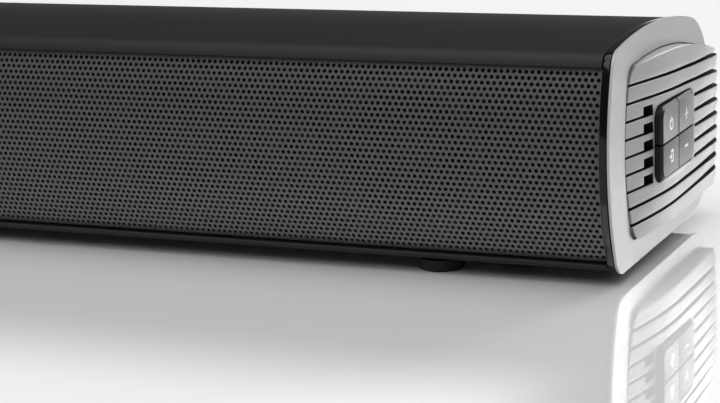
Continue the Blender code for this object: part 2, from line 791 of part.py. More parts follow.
def cluster_outline(grow):
    """The four buttons' common outline, moved outwards by grow."""
    radius = CLUSTER_RADIUS + grow
    low_y, high_y = CLUSTER_FRONT_Y - grow, CLUSTER_BACK_Y + grow
    low_z, high_z = CLUSTER_BOTTOM_Z - grow, CLUSTER_TOP_Z + grow
    corners = (
        (high_y - radius, high_z - radius, 0),
        (low_y + radius, high_z - radius, 1),
        (low_y + radius, low_z + radius, 2),
        (high_y - radius, low_z + radius, 3),
    )
    points = []
    for y, z, quarter in corners:
        for k in range(6):
            turn = math.pi / 2 * (quarter + k / 5)
            points.append((y + radius * math.cos(turn), z + radius * math.sin(turn)))
    return points


def build_buttons():
    """Four buttons cut from one rounded block; each face follows the end cap's bulge."""
    middle_y = (CLUSTER_FRONT_Y + CLUSTER_BACK_Y) / 2
    middle_z = (CLUSTER_BOTTOM_Z + CLUSTER_TOP_Z) / 2
    rear = keymat_face() + BUTTON_TRAVEL + GAP
    cut = BUTTON_SPLIT / 2
    surface = cutter("button_surface", bulge_slab(0, BUTTON_PROUD))
    quarters = {
        "button_power": (-1, 1),
        "button_volume_up": (1, 1),
        "button_source": (-1, -1),
        "button_volume_down": (1, -1),
    }
    for name, (side_y, side_z) in quarters.items():
        block = plate_mesh([cluster_outline(0)], rear, HALF + 20, "X")
        origin = (rear, middle_y + side_y * CLUSTER_RADIUS, middle_z + side_z * CLUSTER_RADIUS)
        button = piece(name, block, "button_grey", origin)
        ys = sorted((middle_y + side_y * cut, middle_y + side_y * 60))
        zs = sorted((middle_z + side_z * cut, middle_z + side_z * 60))
        quarter = box_mesh((HALF - 20, ys[0], zs[0]), (HALF + 30, ys[1], zs[1]))
        boolean(button, cutter(f"{name}_quarter", quarter), "INTERSECT")
        boolean(button, surface, "INTERSECT")


def keymat_face():
    return BULKHEAD_OUTER + 2 * GAP + SWITCH_BOARD_THICKNESS + KEYMAT_THICKNESS


def build_switch_board():
    low = BULKHEAD_OUTER + GAP
    high = low + SWITCH_BOARD_THICKNESS
    board = plate_mesh([cluster_outline(-0.2)], low, high, "X")
    piece("switch_board", board, "circuit_board")
    mat = plate_mesh([cluster_outline(-0.2)], high + GAP, keymat_face(), "X")
    piece("button_keymat", mat, "rubber")


# ---------------------------------------------------------------- drivers


def driver_places():
    return [side * (HALF - offset) for side in (-1, 1) for offset in DRIVER_OFFSETS]


def build_drivers():
    front = BAFFLE_FRONT_Y - GAP - DRIVER_FLANGE
    flange_back = BAFFLE_FRONT_Y - GAP
    shoulder = BAFFLE_BACK_Y
    back = front + BASKET_DEPTH
    body, throat = DRIVER_BODY_RADIUS, DRIVER_THROAT_RADIUS
    bore = VOICE_COIL_RADIUS + VOICE_COIL_GAP
    inner = body - BASKET_WALL
    basket = [
        (DRIVER_FLANGE_RADIUS, front),
        (DRIVER_FLANGE_RADIUS, flange_back),
        (body, flange_back),
        (body, shoulder),
        (throat, back - BASKET_WALL),
        (throat, back),
        (bore, back),
        (bore, back - BASKET_WALL),
        (throat - BASKET_WALL, back - BASKET_WALL),
        (inner, shoulder),
        (inner, front),
    ]
    rim = inner - 2 * GAP - SURROUND_WIDTH
    surround = [(rim + GAP, front + 0.6), (inner - GAP, front + 0.6)]
    for k in range(9):
        turn = math.pi * k / 8
        reach = SURROUND_WIDTH / 2
        middle = rim + GAP + reach
        surround.append((middle + reach * math.cos(turn), front - SURROUND_HEIGHT * math.sin(turn)))
    coil, coil_inner = VOICE_COIL_RADIUS, VOICE_COIL_RADIUS - VOICE_COIL_WALL
    coil_end = back + MAGNET_DEPTH / 2 - CONE_TRAVEL
    neck = front + 10
    cone = [
        (rim, front),
        (rim, front + CONE_THICKNESS),
        (coil, neck + CONE_THICKNESS),
        (coil, coil_end),
        (coil_inner, coil_end),
        (coil_inner, neck - 1),
        (0, neck - 1.6),
        (0, neck - 3.4),
        (coil_inner, neck - 2.2),
        (coil + 1.6, neck - 1.6),
    ]
    pole = coil_inner - VOICE_COIL_GAP
    gap_end = back + MAGNET_DEPTH - 3
    magnet = [
        (MAGNET_RADIUS, back + GAP),
        (MAGNET_RADIUS, back + MAGNET_DEPTH),
        (0, back + MAGNET_DEPTH),
        (0, back + GAP),
        (pole, back + GAP),
        (pole, gap_end),
        (bore, gap_end),
        (bore, back + GAP),
    ]
    for n, x in enumerate(driver_places()):
        centre = (x, DRIVER_Z)
        origin = (x, front, DRIVER_Z)
        for name, profile, finish in (
            ("speaker_basket", basket, "steel"),
            ("speaker_surround", surround, "rubber"),
            ("speaker_cone", cone, "paper_cone"),
            ("speaker_magnet", magnet, "ferrite"),
        ):
            piece(f"{name}_{n + 1}", turned_mesh(profile, centre, "Y"), finish, origin)


# ---------------------------------------------------------------- electronics


def build_board(name, centre_x, length):
    low_x, high_x, low_y, high_y = board_corners(centre_x, length)
    top = BOARD_Z + BOARD_THICKNESS
    piece(name, box_mesh((low_x, low_y, BOARD_Z), (high_x, high_y, top)), "circuit_board")
    return top + GAP


def build_electronics():
    seat = build_board("amplifier_board", AMPLIFIER_X, AMPLIFIER_LENGTH)
    sink_y = BOARD_FRONT_Y + 8
    low_x = AMPLIFIER_X - HEAT_SINK_LENGTH / 2
    base = box_mesh(
        (low_x, sink_y, seat),
        (low_x + HEAT_SINK_LENGTH, sink_y + HEAT_SINK_DEPTH, seat + 3),
    )
    sink = piece("heat_sink", base, "aluminium")
    step = (HEAT_SINK_LENGTH - FIN_THICKNESS) / (FIN_COUNT - 1)
    for n in range(FIN_COUNT):
        x = low_x + n * step
        low = (x, sink_y, seat + 1)
        high = (x + FIN_THICKNESS, sink_y + HEAT_SINK_DEPTH, seat + HEAT_SINK_HEIGHT)
        boolean(sink, cutter(f"fin_{n + 1}", box_mesh(low, high)), "UNION")

    seat = build_board("power_board", POWER_X, POWER_LENGTH)
    width, depth, height = TRANSFORMER_SIZE
    low_x, low_y = POWER_X + POWER_LENGTH / 2 - width - 6, BOARD_FRONT_Y + 8
    block = box_mesh((low_x, low_y, seat), (low_x + width, low_y + depth, seat + height))
    rounded(piece("power_transformer", block, "copper_wound"), 1.5)
    for n in range(2):
        x = POWER_X - POWER_LENGTH / 2 + 14 + n * 2.6 * CAPACITOR_RADIUS
        y = BOARD_FRONT_Y + 16
        can = rod_mesh(CAPACITOR_RADIUS, seat, seat + CAPACITOR_HEIGHT, (x, y), "Z")
        piece(f"smoothing_capacitor_{n + 1}", can, "aluminium")

    board_x = HALF - sum(DRIVER_OFFSETS) / 2
    low = (board_x - 9, BAFFLE_FRONT_Y - GAP - BOARD_THICKNESS, DRIVER_Z - 8)
    high = (board_x + 9, BAFFLE_FRONT_Y - GAP, DRIVER_Z + 8)
    piece("receiver_board", box_mesh(low, high), "circuit_board")
    front = low[1] - GAP
    dome = [(0, front), (3, front), (3, front - 2), (2.2, front - 3.4), (0, front - 4)]
    piece("remote_receiver", turned_mesh(dome, (board_x, DRIVER_Z), "Y", 16), "gloss_black")


def build_sockets():
    """Sockets flush with the rear panel; their bodies reach in over the boards."""
    flush = REAR_FACE_Y + 0.8
    depth = 14.0
    inlet = box_mesh(
        (INLET_X - INLET_WIDTH / 2, REAR_FACE_Y - depth - 4, SOCKET_Z - INLET_HEIGHT / 2),
        (INLET_X + INLET_WIDTH / 2, flush, SOCKET_Z + INLET_HEIGHT / 2),
    )
    inlet = piece("mains_inlet", inlet, "black_plastic")
    boolean(inlet, cutter("inlet_flange", rear_plate(*inlet_span(), [])), "UNION")
    width, height, pocket = INLET_POCKET
    mouth = []
    for side in (1, -1):
        centre_x = INLET_X + side * (width - height) / 2
        for k in range(9):
            turn = math.pi / 2 * (k / 4 - side)
            mouth_z = SOCKET_Z + height / 2 * math.sin(turn)
            mouth.append((centre_x + height / 2 * math.cos(turn), mouth_z))
    boolean(inlet, cutter("inlet_pocket", plate_mesh([mouth], flush - pocket, flush + 5, "Y")))

    half = PHONO_BLOCK_HEIGHT / 2
    span = PHONO_PITCH * (PHONO_COUNT - 1) / 2 + 7
    block = box_mesh(
        (PHONO_X - span, REAR_INNER_Y - GAP - depth, SOCKET_Z - half),
        (PHONO_X + span, REAR_INNER_Y - GAP, SOCKET_Z + half),
    )
    phono = piece("phono_socket_block", block, "black_plastic")
    for n, place in enumerate(phono_places()):
        barrel = rod_mesh(PHONO_RADIUS, REAR_INNER_Y - 2, REAR_FACE_Y + 7, place, "Y")
        boolean(phono, cutter(f"phono_barrel_{n + 1}", barrel), "UNION")
        hole = rod_mesh(1.7, REAR_FACE_Y - 3, REAR_FACE_Y + 12, place, "Y", 12)
        boolean(phono, cutter(f"phono_hole_{n + 1}", hole))

    half = OPTICAL_SIZE / 2
    block = box_mesh(
        (OPTICAL_X - half, REAR_FACE_Y - depth, SOCKET_Z - half),
        (OPTICAL_X + half, flush, SOCKET_Z + half),
    )
    optical = piece("optical_socket", block, "black_plastic")
    recess = box_mesh(
        (OPTICAL_X - half + 2, flush - 1.2, SOCKET_Z - half + 2),
        (OPTICAL_X + half - 2, flush + 5, SOCKET_Z + half - 2),
    )
    boolean(optical, cutter("optical_recess", recess))

    barrel = rod_mesh(AUX_RADIUS, REAR_FACE_Y - depth, flush, (AUX_X, SOCKET_Z), "Y")
    aux = piece("aux_socket", barrel, "black_plastic")
    hole = rod_mesh(1.8, flush - 9, flush + 5, (AUX_X, SOCKET_Z), "Y", 14)
    boolean(aux, cutter("aux_hole", hole))


# ---------------------------------------------------------------- fixings


def build_screws():
    face = REAR_FACE_Y + GAP
    head = [
        (0, face + SCREW_HEAD_HEIGHT),
        (SCREW_HEAD_RADIUS * 0.7, face + SCREW_HEAD_HEIGHT * 0.9),
        (SCREW_HEAD_RADIUS, face + SCREW_HEAD_HEIGHT * 0.4),
        (SCREW_HEAD_RADIUS, face),
        (SCREW_RADIUS, face),
        (SCREW_RADIUS, face - SCREW_LENGTH),
        (0, face - SCREW_LENGTH),
    ]
    for n, (x, z) in enumerate(screw_places()):
        origin = (x, face, z)
        piece(f"rear_screw_{n + 1}", turned_mesh(head, (x, z), "Y", 12), "steel", origin)


def build_feet():
    top = FRAME_BOTTOM + HOUSING_INSET - GAP
    places = [(x, y) for y in (FOOT_FRONT_Y, FOOT_BACK_Y) for x in (-1, 1)]
    profile = [
        (0, 0),
        (FOOT_RADIUS - 0.6, 0),
        (FOOT_RADIUS, 0.6),
        (FOOT_RADIUS, top),
        (0, top),
    ]
    for n, (side, y) in enumerate(places):
        x = side * (HALF - FOOT_END_INSET)
        piece(f"rubber_foot_{n + 1}", turned_mesh(profile, (x, y), "Z"), "rubber", (x, y, 0))


build_covers()
build_rear_panels()
build_grille()
build_baffle()
build_end_frames()
build_end_bands()
build_bulkheads()
build_end_caps()
build_buttons()
build_switch_board()
build_drivers()
build_electronics()
build_sockets()
build_screws()
build_feet()
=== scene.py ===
# %% [markdown]
# # A soundbar's looks
# The frame below is a finished soundbar in plain solids: covers, grille, end frames, caps,
# buttons, sockets and what is inside. This script gives it its surfaces. Pieces whose plain
# solid already has the right shape only get a better finish; the perforated grille, the
# louvred caps and other close-up pieces are built again here, finer, in the same place.

# %% Load the frame
import math

import bmesh
import bpy
import json
import numpy as np
from mathutils import Euler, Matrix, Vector


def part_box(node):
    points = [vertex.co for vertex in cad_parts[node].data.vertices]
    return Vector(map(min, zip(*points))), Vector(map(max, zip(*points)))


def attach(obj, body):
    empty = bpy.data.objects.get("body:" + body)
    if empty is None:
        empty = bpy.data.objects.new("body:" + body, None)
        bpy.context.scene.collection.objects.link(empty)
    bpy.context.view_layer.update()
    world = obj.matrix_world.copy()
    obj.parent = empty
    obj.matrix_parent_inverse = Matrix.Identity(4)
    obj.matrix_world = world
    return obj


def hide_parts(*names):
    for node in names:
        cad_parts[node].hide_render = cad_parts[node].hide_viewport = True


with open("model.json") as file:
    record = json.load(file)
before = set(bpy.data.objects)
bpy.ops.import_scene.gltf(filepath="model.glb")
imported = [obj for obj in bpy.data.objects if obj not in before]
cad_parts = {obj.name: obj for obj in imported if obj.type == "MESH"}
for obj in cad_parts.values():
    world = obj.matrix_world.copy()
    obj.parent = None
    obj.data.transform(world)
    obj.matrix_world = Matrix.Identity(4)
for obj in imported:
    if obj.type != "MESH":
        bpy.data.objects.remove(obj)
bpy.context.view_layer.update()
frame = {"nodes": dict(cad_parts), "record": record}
MM = 0.001
print("pieces in the frame:", len(frame["nodes"]))

# %% [markdown]
# Sizes come from the frame, not from guesses: the end frames give the bar's section, and the
# covers give its length. Everything here is in millimetres until a mesh is made, because a
# maker thinks about a soundbar in millimetres.

# %% Read the driving sizes


def box_mm(node):
    """A frame piece's lowest and highest corners, in millimetres."""
    low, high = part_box(node)
    return low / MM, high / MM


right_low, right_high = box_mm("end_frame_right")
left_low = box_mm("end_frame_left")[0]
MIDDLE_X = (right_high.x + left_low.x) / 2
HALF = (right_high.x - left_low.x) / 2
FRONT_Y, BACK_Y = right_low.y, box_mm("end_cap_right")[1].y
BOTTOM_Z, TOP_Z = right_low.z, right_high.z
COVER_HALF = (box_mm("top_cover")[1].x - box_mm("top_cover")[0].x) / 2
print(f"end faces at {HALF:.1f} mm from the middle, section {TOP_Z - BOTTOM_Z:.1f} mm high")

# %% [markdown]
# The section is four sides with rounded corners. The front bows out, the top is nearly flat,
# and the back corners are much rounder than the front ones. A side knows its outward direction
# and can step inwards, so the same few lines draw the frame, the covers inside it and the
# window that the louvres stand in.

# %% Draw the section


class Flat:
    """A straight side: a point on it and its outward direction."""

    def __init__(self, point, outward):
        self.point, self.normal = Vector(point), Vector(outward)

    def depth(self, point):
        return -(point - self.point).dot(self.normal)

    def outward(self, point):
        return self.normal

    def inset(self, by):
        return Flat(self.point - self.normal * by, self.normal)


class Bow:
    """A gently bowed side: its arc's centre and radius."""

    def __init__(self, centre, radius):
        self.centre, self.radius = Vector(centre), radius

    def depth(self, point):
        return self.radius - (point - self.centre).length

    def outward(self, point):
        return (point - self.centre).normalized()

    def inset(self, by):
        return Bow(self.centre, self.radius - by)


FRONT_SIDE = Bow((FRONT_Y + 81, BOTTOM_Z + 37.4), 81)
TOP_SIDE = Bow((-12, TOP_Z - 245), 245)
BACK_SIDE = Flat((BACK_Y, 0), (1, 0))
BOTTOM_SIDE = Flat((0, BOTTOM_Z), (0, -1))
CORNERS = (6, 30, 22, 8)  # front top, back top, back bottom, front bottom
ARC_STEPS = 14


def corner_centre(first, second, radius):
    """The centre of the arc that rounds the corner between two sides."""
    centre = Vector((0, (BOTTOM_Z + TOP_Z) / 2))
    for _ in range(60):
        miss_a, miss_b = first.depth(centre) - radius, second.depth(centre) - radius
        a, b = first.outward(centre), second.outward(centre)
        grip = a.x * b.y - a.y * b.x
        centre += Vector((miss_a * b.y - miss_b * a.y, miss_b * a.x - miss_a * b.x)) / grip
    return centre


def fan(centre, radius, start, end, shares):
    """Points on an arc between two directions."""
    turn = start.angle(end)
    rays = [start * math.sin((1 - s) * turn) + end * math.sin(s * turn) for s in shares]
    return [centre + ray / math.sin(turn) * radius for ray in rays]


def outline(sides, radii, steps=ARC_STEPS):
    """A closed section of front, top, back and bottom sides, as (y, z) points."""
    shares = [k / steps for k in range(steps + 1)]
    points = []
    for i, radius in enumerate(radii):
        first, second = sides[i], sides[(i + 1) % 4]
        centre = corner_centre(first, second, radius)
        end = second.outward(centre)
        points += fan(centre, radius, first.outward(centre), end, shares)
        if isinstance(second, Bow):
            after = corner_centre(second, sides[(i + 2) % 4], radii[(i + 1) % 4])
            points += fan(second.centre, second.radius, end, second.outward(after), shares[1:-1])
    return [(point.x, point.y) for point in points]


def section(inset):
    """The end frame's outline, moved inwards."""
    sides = [side.inset(inset) for side in (FRONT_SIDE, TOP_SIDE, BACK_SIDE, BOTTOM_SIDE)]
    return outline(sides, [max(radius - inset, 1) for radius in CORNERS])


def crossings(loop, axis, at):
    """Where a loop crosses a line; axis 0 gives heights at a depth, 1 depths at a height."""
    found = []
    for a, b in zip(loop, loop[1:] + loop[:1]):
        if (a[axis] - at) * (b[axis] - at) <= 0 and a[axis] != b[axis]:
            share = (at - a[axis]) / (b[axis] - a[axis])
            found.append(a[1 - axis] + (b[1 - axis] - a[1 - axis]) * share)
    return min(found), max(found)


print("points round the section:", len(section(0)))

# %% [markdown]
# Blender needs each mesh closed and facing out, or it casts odd shadows and cannot be measured.
# Nearly every piece here is a stack of rings with the same number of points: joined ring to
# ring and closed at both ends, they make a solid. A ring that goes round and comes back to the
# first one makes a hoop.

# %% Make solids from rings


def make_piece(name, points, faces, finish, sharp=32, lined=()):
    """A mesh object from points in millimetres, smooth except across sharp edges.

    The faces whose numbers are in lined take the second of the mesh's finishes.
    """
    mesh = bpy.data.meshes.new(name)
    mesh.from_pydata([tuple(c * MM for c in p) for p in points], [], faces)
    for number in lined:
        mesh.polygons[number].material_index = 1
    form = bmesh.new()
    form.from_mesh(mesh)
    bmesh.ops.remove_doubles(form, verts=form.verts, dist=1e-7)
    bmesh.ops.recalc_face_normals(form, faces=form.faces)
    form.to_mesh(mesh)
    form.free()
    return dress(name, mesh, finish, sharp)


def dress(name, mesh, finish, sharp=32):
    """Put a mesh in the scene with its finish."""
    mesh.shade_smooth()
    mesh.set_sharp_from_angle(angle=math.radians(sharp))
    made = bpy.data.objects.new(name, mesh)
    bpy.context.scene.collection.objects.link(made)
    for each in finish if isinstance(finish, tuple) else (finish,):
        mesh.materials.append(each)
    return made


def join_rings(rings, closed=False, ends=None):
    """Faces between successive rings; open stacks get a cap at each end, or the given faces."""
    count = len(rings[0])
    points = [point for ring in rings for point in ring]
    faces = []
    for k in range(len(rings) if closed else len(rings) - 1):
        a, b = k * count, (k + 1) % len(rings) * count
        for i in range(count):
            j = (i + 1) % count
            faces.append((a + i, a + j, b + j, b + i))
    for face in [] if closed else ends or [tuple(range(count))]:
        faces.append(face)
        faces.append(tuple(len(points) - count + i for i in reversed(face)))
    return points, faces


def along_x(loop, x):
    """A (y, z) loop set up at x, given from the bar's middle."""
    return [(MIDDLE_X + x, y, z) for y, z in loop]


def mirror_x(points):
    return [(2 * MIDDLE_X - x, y, z) for x, y, z in points]


def both_ends(name, points, faces, finish, sharp=32):
    """Make a piece for the right-hand end and its mirror image for the left-hand end."""
    for side, where in (("right", points), ("left", mirror_x(points))):
        made = make_piece(f"{name}_{side}", where, faces, finish, sharp)
        yield side, made


def settle(made, slot, *nodes, body="housing"):
    """A finished piece rides on its body and stands for the frame's plain nodes."""
    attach(made, body)
    if nodes:
        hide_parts(*nodes)
    return made


print("a ring stack of the section:", len(join_rings([section(0), section(1)])[1]), "faces")

# %% [markdown]
# A finish is a small network of shader nodes. Two helpers keep it readable: a wire is one
# output socket that understands arithmetic, and a finish owns the network and its shader.

# %% Wires and finishes


class Wire:
    """One socket in a finish's network. Arithmetic on it adds Math nodes."""

    def __init__(self, finish, socket):
        self.finish, self.socket = finish, socket

    def math(self, operation, *inputs):
        return self.finish.node("ShaderNodeMath", {"operation": operation}, inputs)

    def __add__(self, other):
        return self.math("ADD", self, other)

    __radd__ = __add__

    def __sub__(self, other):
        return self.math("SUBTRACT", self, other)

    def __rsub__(self, other):
        return self.math("SUBTRACT", other, self)

    def __mul__(self, other):
        return self.math("MULTIPLY", self, other)

    __rmul__ = __mul__

    def above(self, level, blur):
        """0 below a level, 1 above it, with a soft step of this width."""
        settings = {"interpolation_type": "SMOOTHSTEP"}
        inputs = {"Value": self, "From Min": level - blur / 2, "From Max": level + blur / 2}
        return self.finish.node("ShaderNodeMapRange", settings, inputs)


class Network:
    """A node tree, and one way to add any node to it."""

    def __init__(self, owner):
        owner.use_nodes = True
        self.tree = owner.node_tree

    def feed(self, socket, value):
        if isinstance(value, Wire):
            self.tree.links.new(value.socket, socket)
        else:
            socket.default_value = value

    def node(self, kind, settings=None, inputs=(), output=0):
        """Add a node: its settings first, then the values or wires of its sockets."""
        made = self.tree.nodes.new(kind)
        for label, value in (settings or {}).items():
            setattr(made, label, value)
        pairs = inputs.items() if isinstance(inputs, dict) else enumerate(inputs)
        for label, value in pairs:
            self.feed(made.inputs[label], value)
        return Wire(self, made.outputs[output])



class Finish(Network):
    """A material under construction: its network and its Principled shader."""

    def __init__(self, name, colour, roughness, **constants):
        self.material = bpy.data.materials.new(name)
        super().__init__(self.material)
        self.shader = self.tree.nodes["Principled BSDF"]
        self.set("Base Color", (*colour, 1))
        self.set("Roughness", roughness)
        for label, value in constants.items():
            self.set(label.replace("_", " ").title().replace("Ior", "IOR"), value)

    def set(self, label, value):
        """Give one of the shader's sockets a value or a wire."""
        self.feed(self.shader.inputs[label], value)

    def place(self, stretch=(1, 1, 1)):
        """Where a point is on the piece, in metres, squeezed or stretched along each axis."""
        at = self.node("ShaderNodeTexCoord", output="Object")
        return self.node("ShaderNodeVectorMath", {"operation": "MULTIPLY"}, (at, stretch))

    def noise(self, scale, detail=2.0, stretch=(1, 1, 1), roughness=0.5):
        """Cloudy grain with about this many blobs to the metre."""
        inputs = {"Scale": scale, "Detail": detail, "Roughness": roughness}
        inputs["Vector"] = self.place(stretch)
        return self.node("ShaderNodeTexNoise", None, inputs)

    def blend(self, mask, first, second):
        """One colour where the mask is 0, another where it is 1."""
        colours = {"A": (*first, 1), "B": (*second, 1)}
        made = self.tree.nodes.new("ShaderNodeMix")
        made.data_type = "RGBA"
        self.feed(made.inputs["Factor"], mask)
        for socket in made.inputs:
            if socket.type == "RGBA":
                socket.default_value = colours[socket.name]
        return Wire(self, next(s for s in made.outputs if s.type == "RGBA"))

    def bump(self, height, strength, depth_mm):
        """Relief of this depth, from a wire that is 0 in the hollows and 1 on the tops."""
        inputs = {"Height": height, "Strength": strength, "Distance": depth_mm * MM}
        self.set("Normal", self.node("ShaderNodeBump", None, inputs))


def grey(level):
    """The linear grey that shows as this level out of 255."""
    share = level / 255
    linear = share / 12.92 if share <= 0.04045 else ((share + 0.055) / 1.055) ** 2.4
    return (linear, linear, linear)


def tinted(level, red=1.0, green=1.0, blue=1.0):
    base = grey(level)[0]
    return (base * red, base * green, base * blue)


print("mid grey is", round(grey(128)[0], 3), "in linear light")

# %% [markdown]
# The covers are injection-moulded in charcoal plastic. The mould was etched with a fine grain,
# so that fingerprints and scuffs do not show. Fine noise as a bump gives the grain, and a much
# larger, fainter noise varies the sheen, as handling does.

# %% Charcoal moulded plastic


def charcoal_plastic():
    finish = Finish("charcoal_plastic", grey(27), 0.5, specular_ior_level=0.25)
    grain = finish.noise(2600, 3)
    cloud = finish.noise(9, 2, (0.5, 1, 1))
    finish.set("Base Color", finish.blend(grain, tinted(22, 1, 1, 1.03), tinted(32, 1, 1, 1.03)))
    finish.set("Roughness", cloud * 0.1 + grain * 0.08 + 0.44)
    finish.bump(grain, 0.28, 0.06)
    return finish.material


CHARCOAL = charcoal_plastic()
print("made", CHARCOAL.name)

# %% [markdown]
# The grille is a steel sheet, perforated, bent and sprayed satin black. Sprayed paint pulls
# into a very slight orange peel, and it is a little glossier than the covers. Paint builds up
# and dulls round the holes, so a finer noise breaks the sheen there.

# %% Satin paint on perforated steel


def painted_steel(name, low, high):
    finish = Finish(name, grey(low), 0.42, specular_ior_level=0.5)
    peel = finish.noise(900, 2)
    speck = finish.noise(5200, 1)
    cloud = finish.noise(6, 2, (0.4, 1, 1))
    finish.set("Base Color", finish.blend(cloud * 0.5 + speck * 0.5, grey(low), grey(high)))
    finish.set("Roughness", peel * 0.12 + cloud * 0.08 + 0.33)
    finish.bump(peel * 0.7 + speck * 0.3, 0.2, 0.05)
    return finish.material


GRILLE_PAINT = painted_steel("grille_paint", 60, 78)
BASKET_PAINT = painted_steel("basket_paint", 12, 20)
print("made", GRILLE_PAINT.name, BASKET_PAINT.name)

# %% [markdown]
# The bands beside the end frames are polished black plastic. Polished plastic is never quite
# flat: it has long soft waves from moulding, and dust and wiping leave faint hairlines.

# %% Polished black plastic


def gloss_black():
    finish = Finish("gloss_black", grey(12), 0.06, specular_ior_level=0.25)
    wave = finish.noise(40, 1)
    hairline = finish.noise(900, 2, (1, 0.05, 1))
    finish.set("Base Color", finish.blend(wave, grey(8), grey(15)))
    finish.set("Roughness", hairline * 0.07 + 0.04)
    finish.bump(wave, 0.12, 0.1)
    return finish.material


GLOSS_BLACK = gloss_black()
print("made", GLOSS_BLACK.name)

# %% [markdown]
# The end frames and louvred caps are satin grey, a paint with very fine metal flake. Flake
# shows as tiny changes of brightness, not as glitter, at this distance. The caps have the same
# paint over faint lines that run along the louvres.

# %% Satin grey paint


def satin_grey(name, level, line_strength, roughness=0.42, metallic=0.15):
    finish = Finish(name, grey(level), roughness, metallic=metallic, specular_ior_level=0.4)
    flake = finish.noise(3800, 2, roughness=0.7)
    cloud = finish.noise(22, 2)
    line = finish.noise(1500, 1, (1, 0.015, 1))
    tone = flake * 0.45 + cloud * 0.3 + line * 0.25
    low, high = grey(level - 7), grey(level + 7)
    finish.set("Base Color", finish.blend(tone, low, high))
    finish.set("Roughness", flake * 0.1 + cloud * 0.06 + roughness - 0.08)
    finish.bump(flake * 0.5 + line * line_strength, 0.16, 0.04)
    return finish.material


FRAME_GREY = satin_grey("frame_grey", 168, 0.1)
LOUVRE_GREY = satin_grey("louvre_grey", 164, 0.5)
BUTTON_GREY = satin_grey("button_grey", 122, 0.0, 0.5, 0.0)
print("made", FRAME_GREY.name, LOUVRE_GREY.name, BUTTON_GREY.name)

# %% [markdown]
# The remaining outside finishes are quieter: matte black plastic for the lower cover and the
# sockets, rubber for the feet, plated steel for screws and contacts, and white ink for the
# symbols on the buttons. Two deeper blacks are painted shade: one for the dark inside the
# caps' narrow gaps, one for the shaded side walls and bevels of the buttons.

# %% Black plastic, rubber, plated steel, ink and painted shade


def black_plastic(name, low, high):
    finish = Finish(name, grey(low), 0.5, specular_ior_level=0.3)
    grain = finish.noise(2200, 3)
    finish.set("Base Color", finish.blend(grain, grey(low), grey(high)))
    finish.set("Roughness", grain * 0.16 + 0.42)
    finish.bump(grain, 0.3, 0.05)
    return finish.material


def rubber():
    finish = Finish("rubber", grey(30), 0.8, specular_ior_level=0.25)
    mottle = finish.noise(700, 4, roughness=0.65)
    dust = finish.noise(60, 3).above(0.55, 0.2)
    finish.set("Base Color", finish.blend(dust * 0.6, grey(26), grey(40)))
    finish.set("Roughness", mottle * 0.15 + 0.72)
    finish.bump(mottle, 0.35, 0.08)
    return finish.material


def plated_steel(name="plated_steel", colour=(0.56, 0.56, 0.57), streak=(1, 1, 0.04)):
    finish = Finish(name, colour, 0.3, metallic=1.0)
    lines = finish.noise(1400, 2, streak)
    tarnish = finish.noise(80, 3)
    dull = tuple(c * 0.78 for c in colour)
    finish.set("Base Color", finish.blend(tarnish * 0.6 + lines * 0.4, dull, colour))
    finish.set("Roughness", lines * 0.16 + tarnish * 0.14 + 0.16)
    finish.bump(lines, 0.12, 0.03)
    return finish.material


def coloured_plastic(name, colour):
    """A smooth moulded insert, a little glossy."""
    finish = Finish(name, colour, 0.35)
    cloud = finish.noise(300, 2)
    finish.set("Base Color", finish.blend(cloud, tuple(c * 0.88 for c in colour), colour))
    finish.set("Roughness", cloud * 0.14 + 0.28)
    finish.bump(cloud, 0.1, 0.04)
    return finish.material


BLACK_PLASTIC, RUBBER, STEEL = black_plastic("black_plastic", 20, 31), rubber(), plated_steel()
# The two darker blacks are painted shade: the first for the walls and floors of the caps' gaps, the
# second for the buttons' side walls and outside bevels.
GAP_PAINTED_SHADE, BUTTON_PAINTED_SHADE = black_plastic("gap_painted_shade", 7, 12), black_plastic("button_painted_shade", 16, 24)
INK = coloured_plastic("white_ink", grey(236))
print("made", BLACK_PLASTIC.name, RUBBER.name, STEEL.name, INK.name)

# %% [markdown]
# What is inside shows only as a hint behind the grille, but a buyer may open the bar. Circuit
# boards get dark green mask with copper tracks under it, speaker cones get the fibres of paper
# pulp, magnets get the grey grain of sintered ferrite, and the baffle gets fibreboard.

# %% Finishes for the inside


def circuit_board():
    finish = Finish("circuit_board", (0.004, 0.02, 0.01), 0.35)
    settings = {"feature": "F1", "distance": "MANHATTAN"}
    inputs = {"Vector": finish.place((1, 1, 0)), "Scale": 160, "Randomness": 0.7}
    cells = finish.node("ShaderNodeTexVoronoi", settings, inputs)
    tracks = (cells * 9).math("FRACT", cells * 9).above(0.55, 0.1)
    finish.set("Base Color", finish.blend(tracks, (0.003, 0.014, 0.007), (0.007, 0.036, 0.016)))
    finish.set("Roughness", tracks * -0.1 + 0.42)
    finish.bump(tracks, 0.25, 0.04)
    return finish.material


def paper_cone():
    finish = Finish("paper_cone", grey(44), 0.75)
    fibre = finish.noise(1300, 5, (1, 0.4, 1), 0.7)
    finish.set("Base Color", finish.blend(fibre, grey(34), grey(58)))
    finish.set("Roughness", fibre * 0.15 + 0.68)
    finish.bump(fibre, 0.5, 0.1)
    return finish.material


def ferrite():
    finish = Finish("ferrite", grey(66), 0.6, metallic=0.2)
    grain = finish.noise(1800, 4, roughness=0.7)
    finish.set("Base Color", finish.blend(grain, grey(54), grey(78)))
    finish.set("Roughness", grain * 0.2 + 0.5)
    finish.bump(grain, 0.4, 0.06)
    return finish.material


def fibreboard():
    finish = Finish("fibreboard", grey(34), 0.8)
    fibre = finish.noise(500, 6, (0.4, 1, 1), 0.7)
    finish.set("Base Color", finish.blend(fibre, (0.010, 0.009, 0.008), (0.026, 0.023, 0.021)))
    finish.set("Roughness", fibre * 0.15 + 0.75)
    finish.bump(fibre, 0.4, 0.12)
    return finish.material


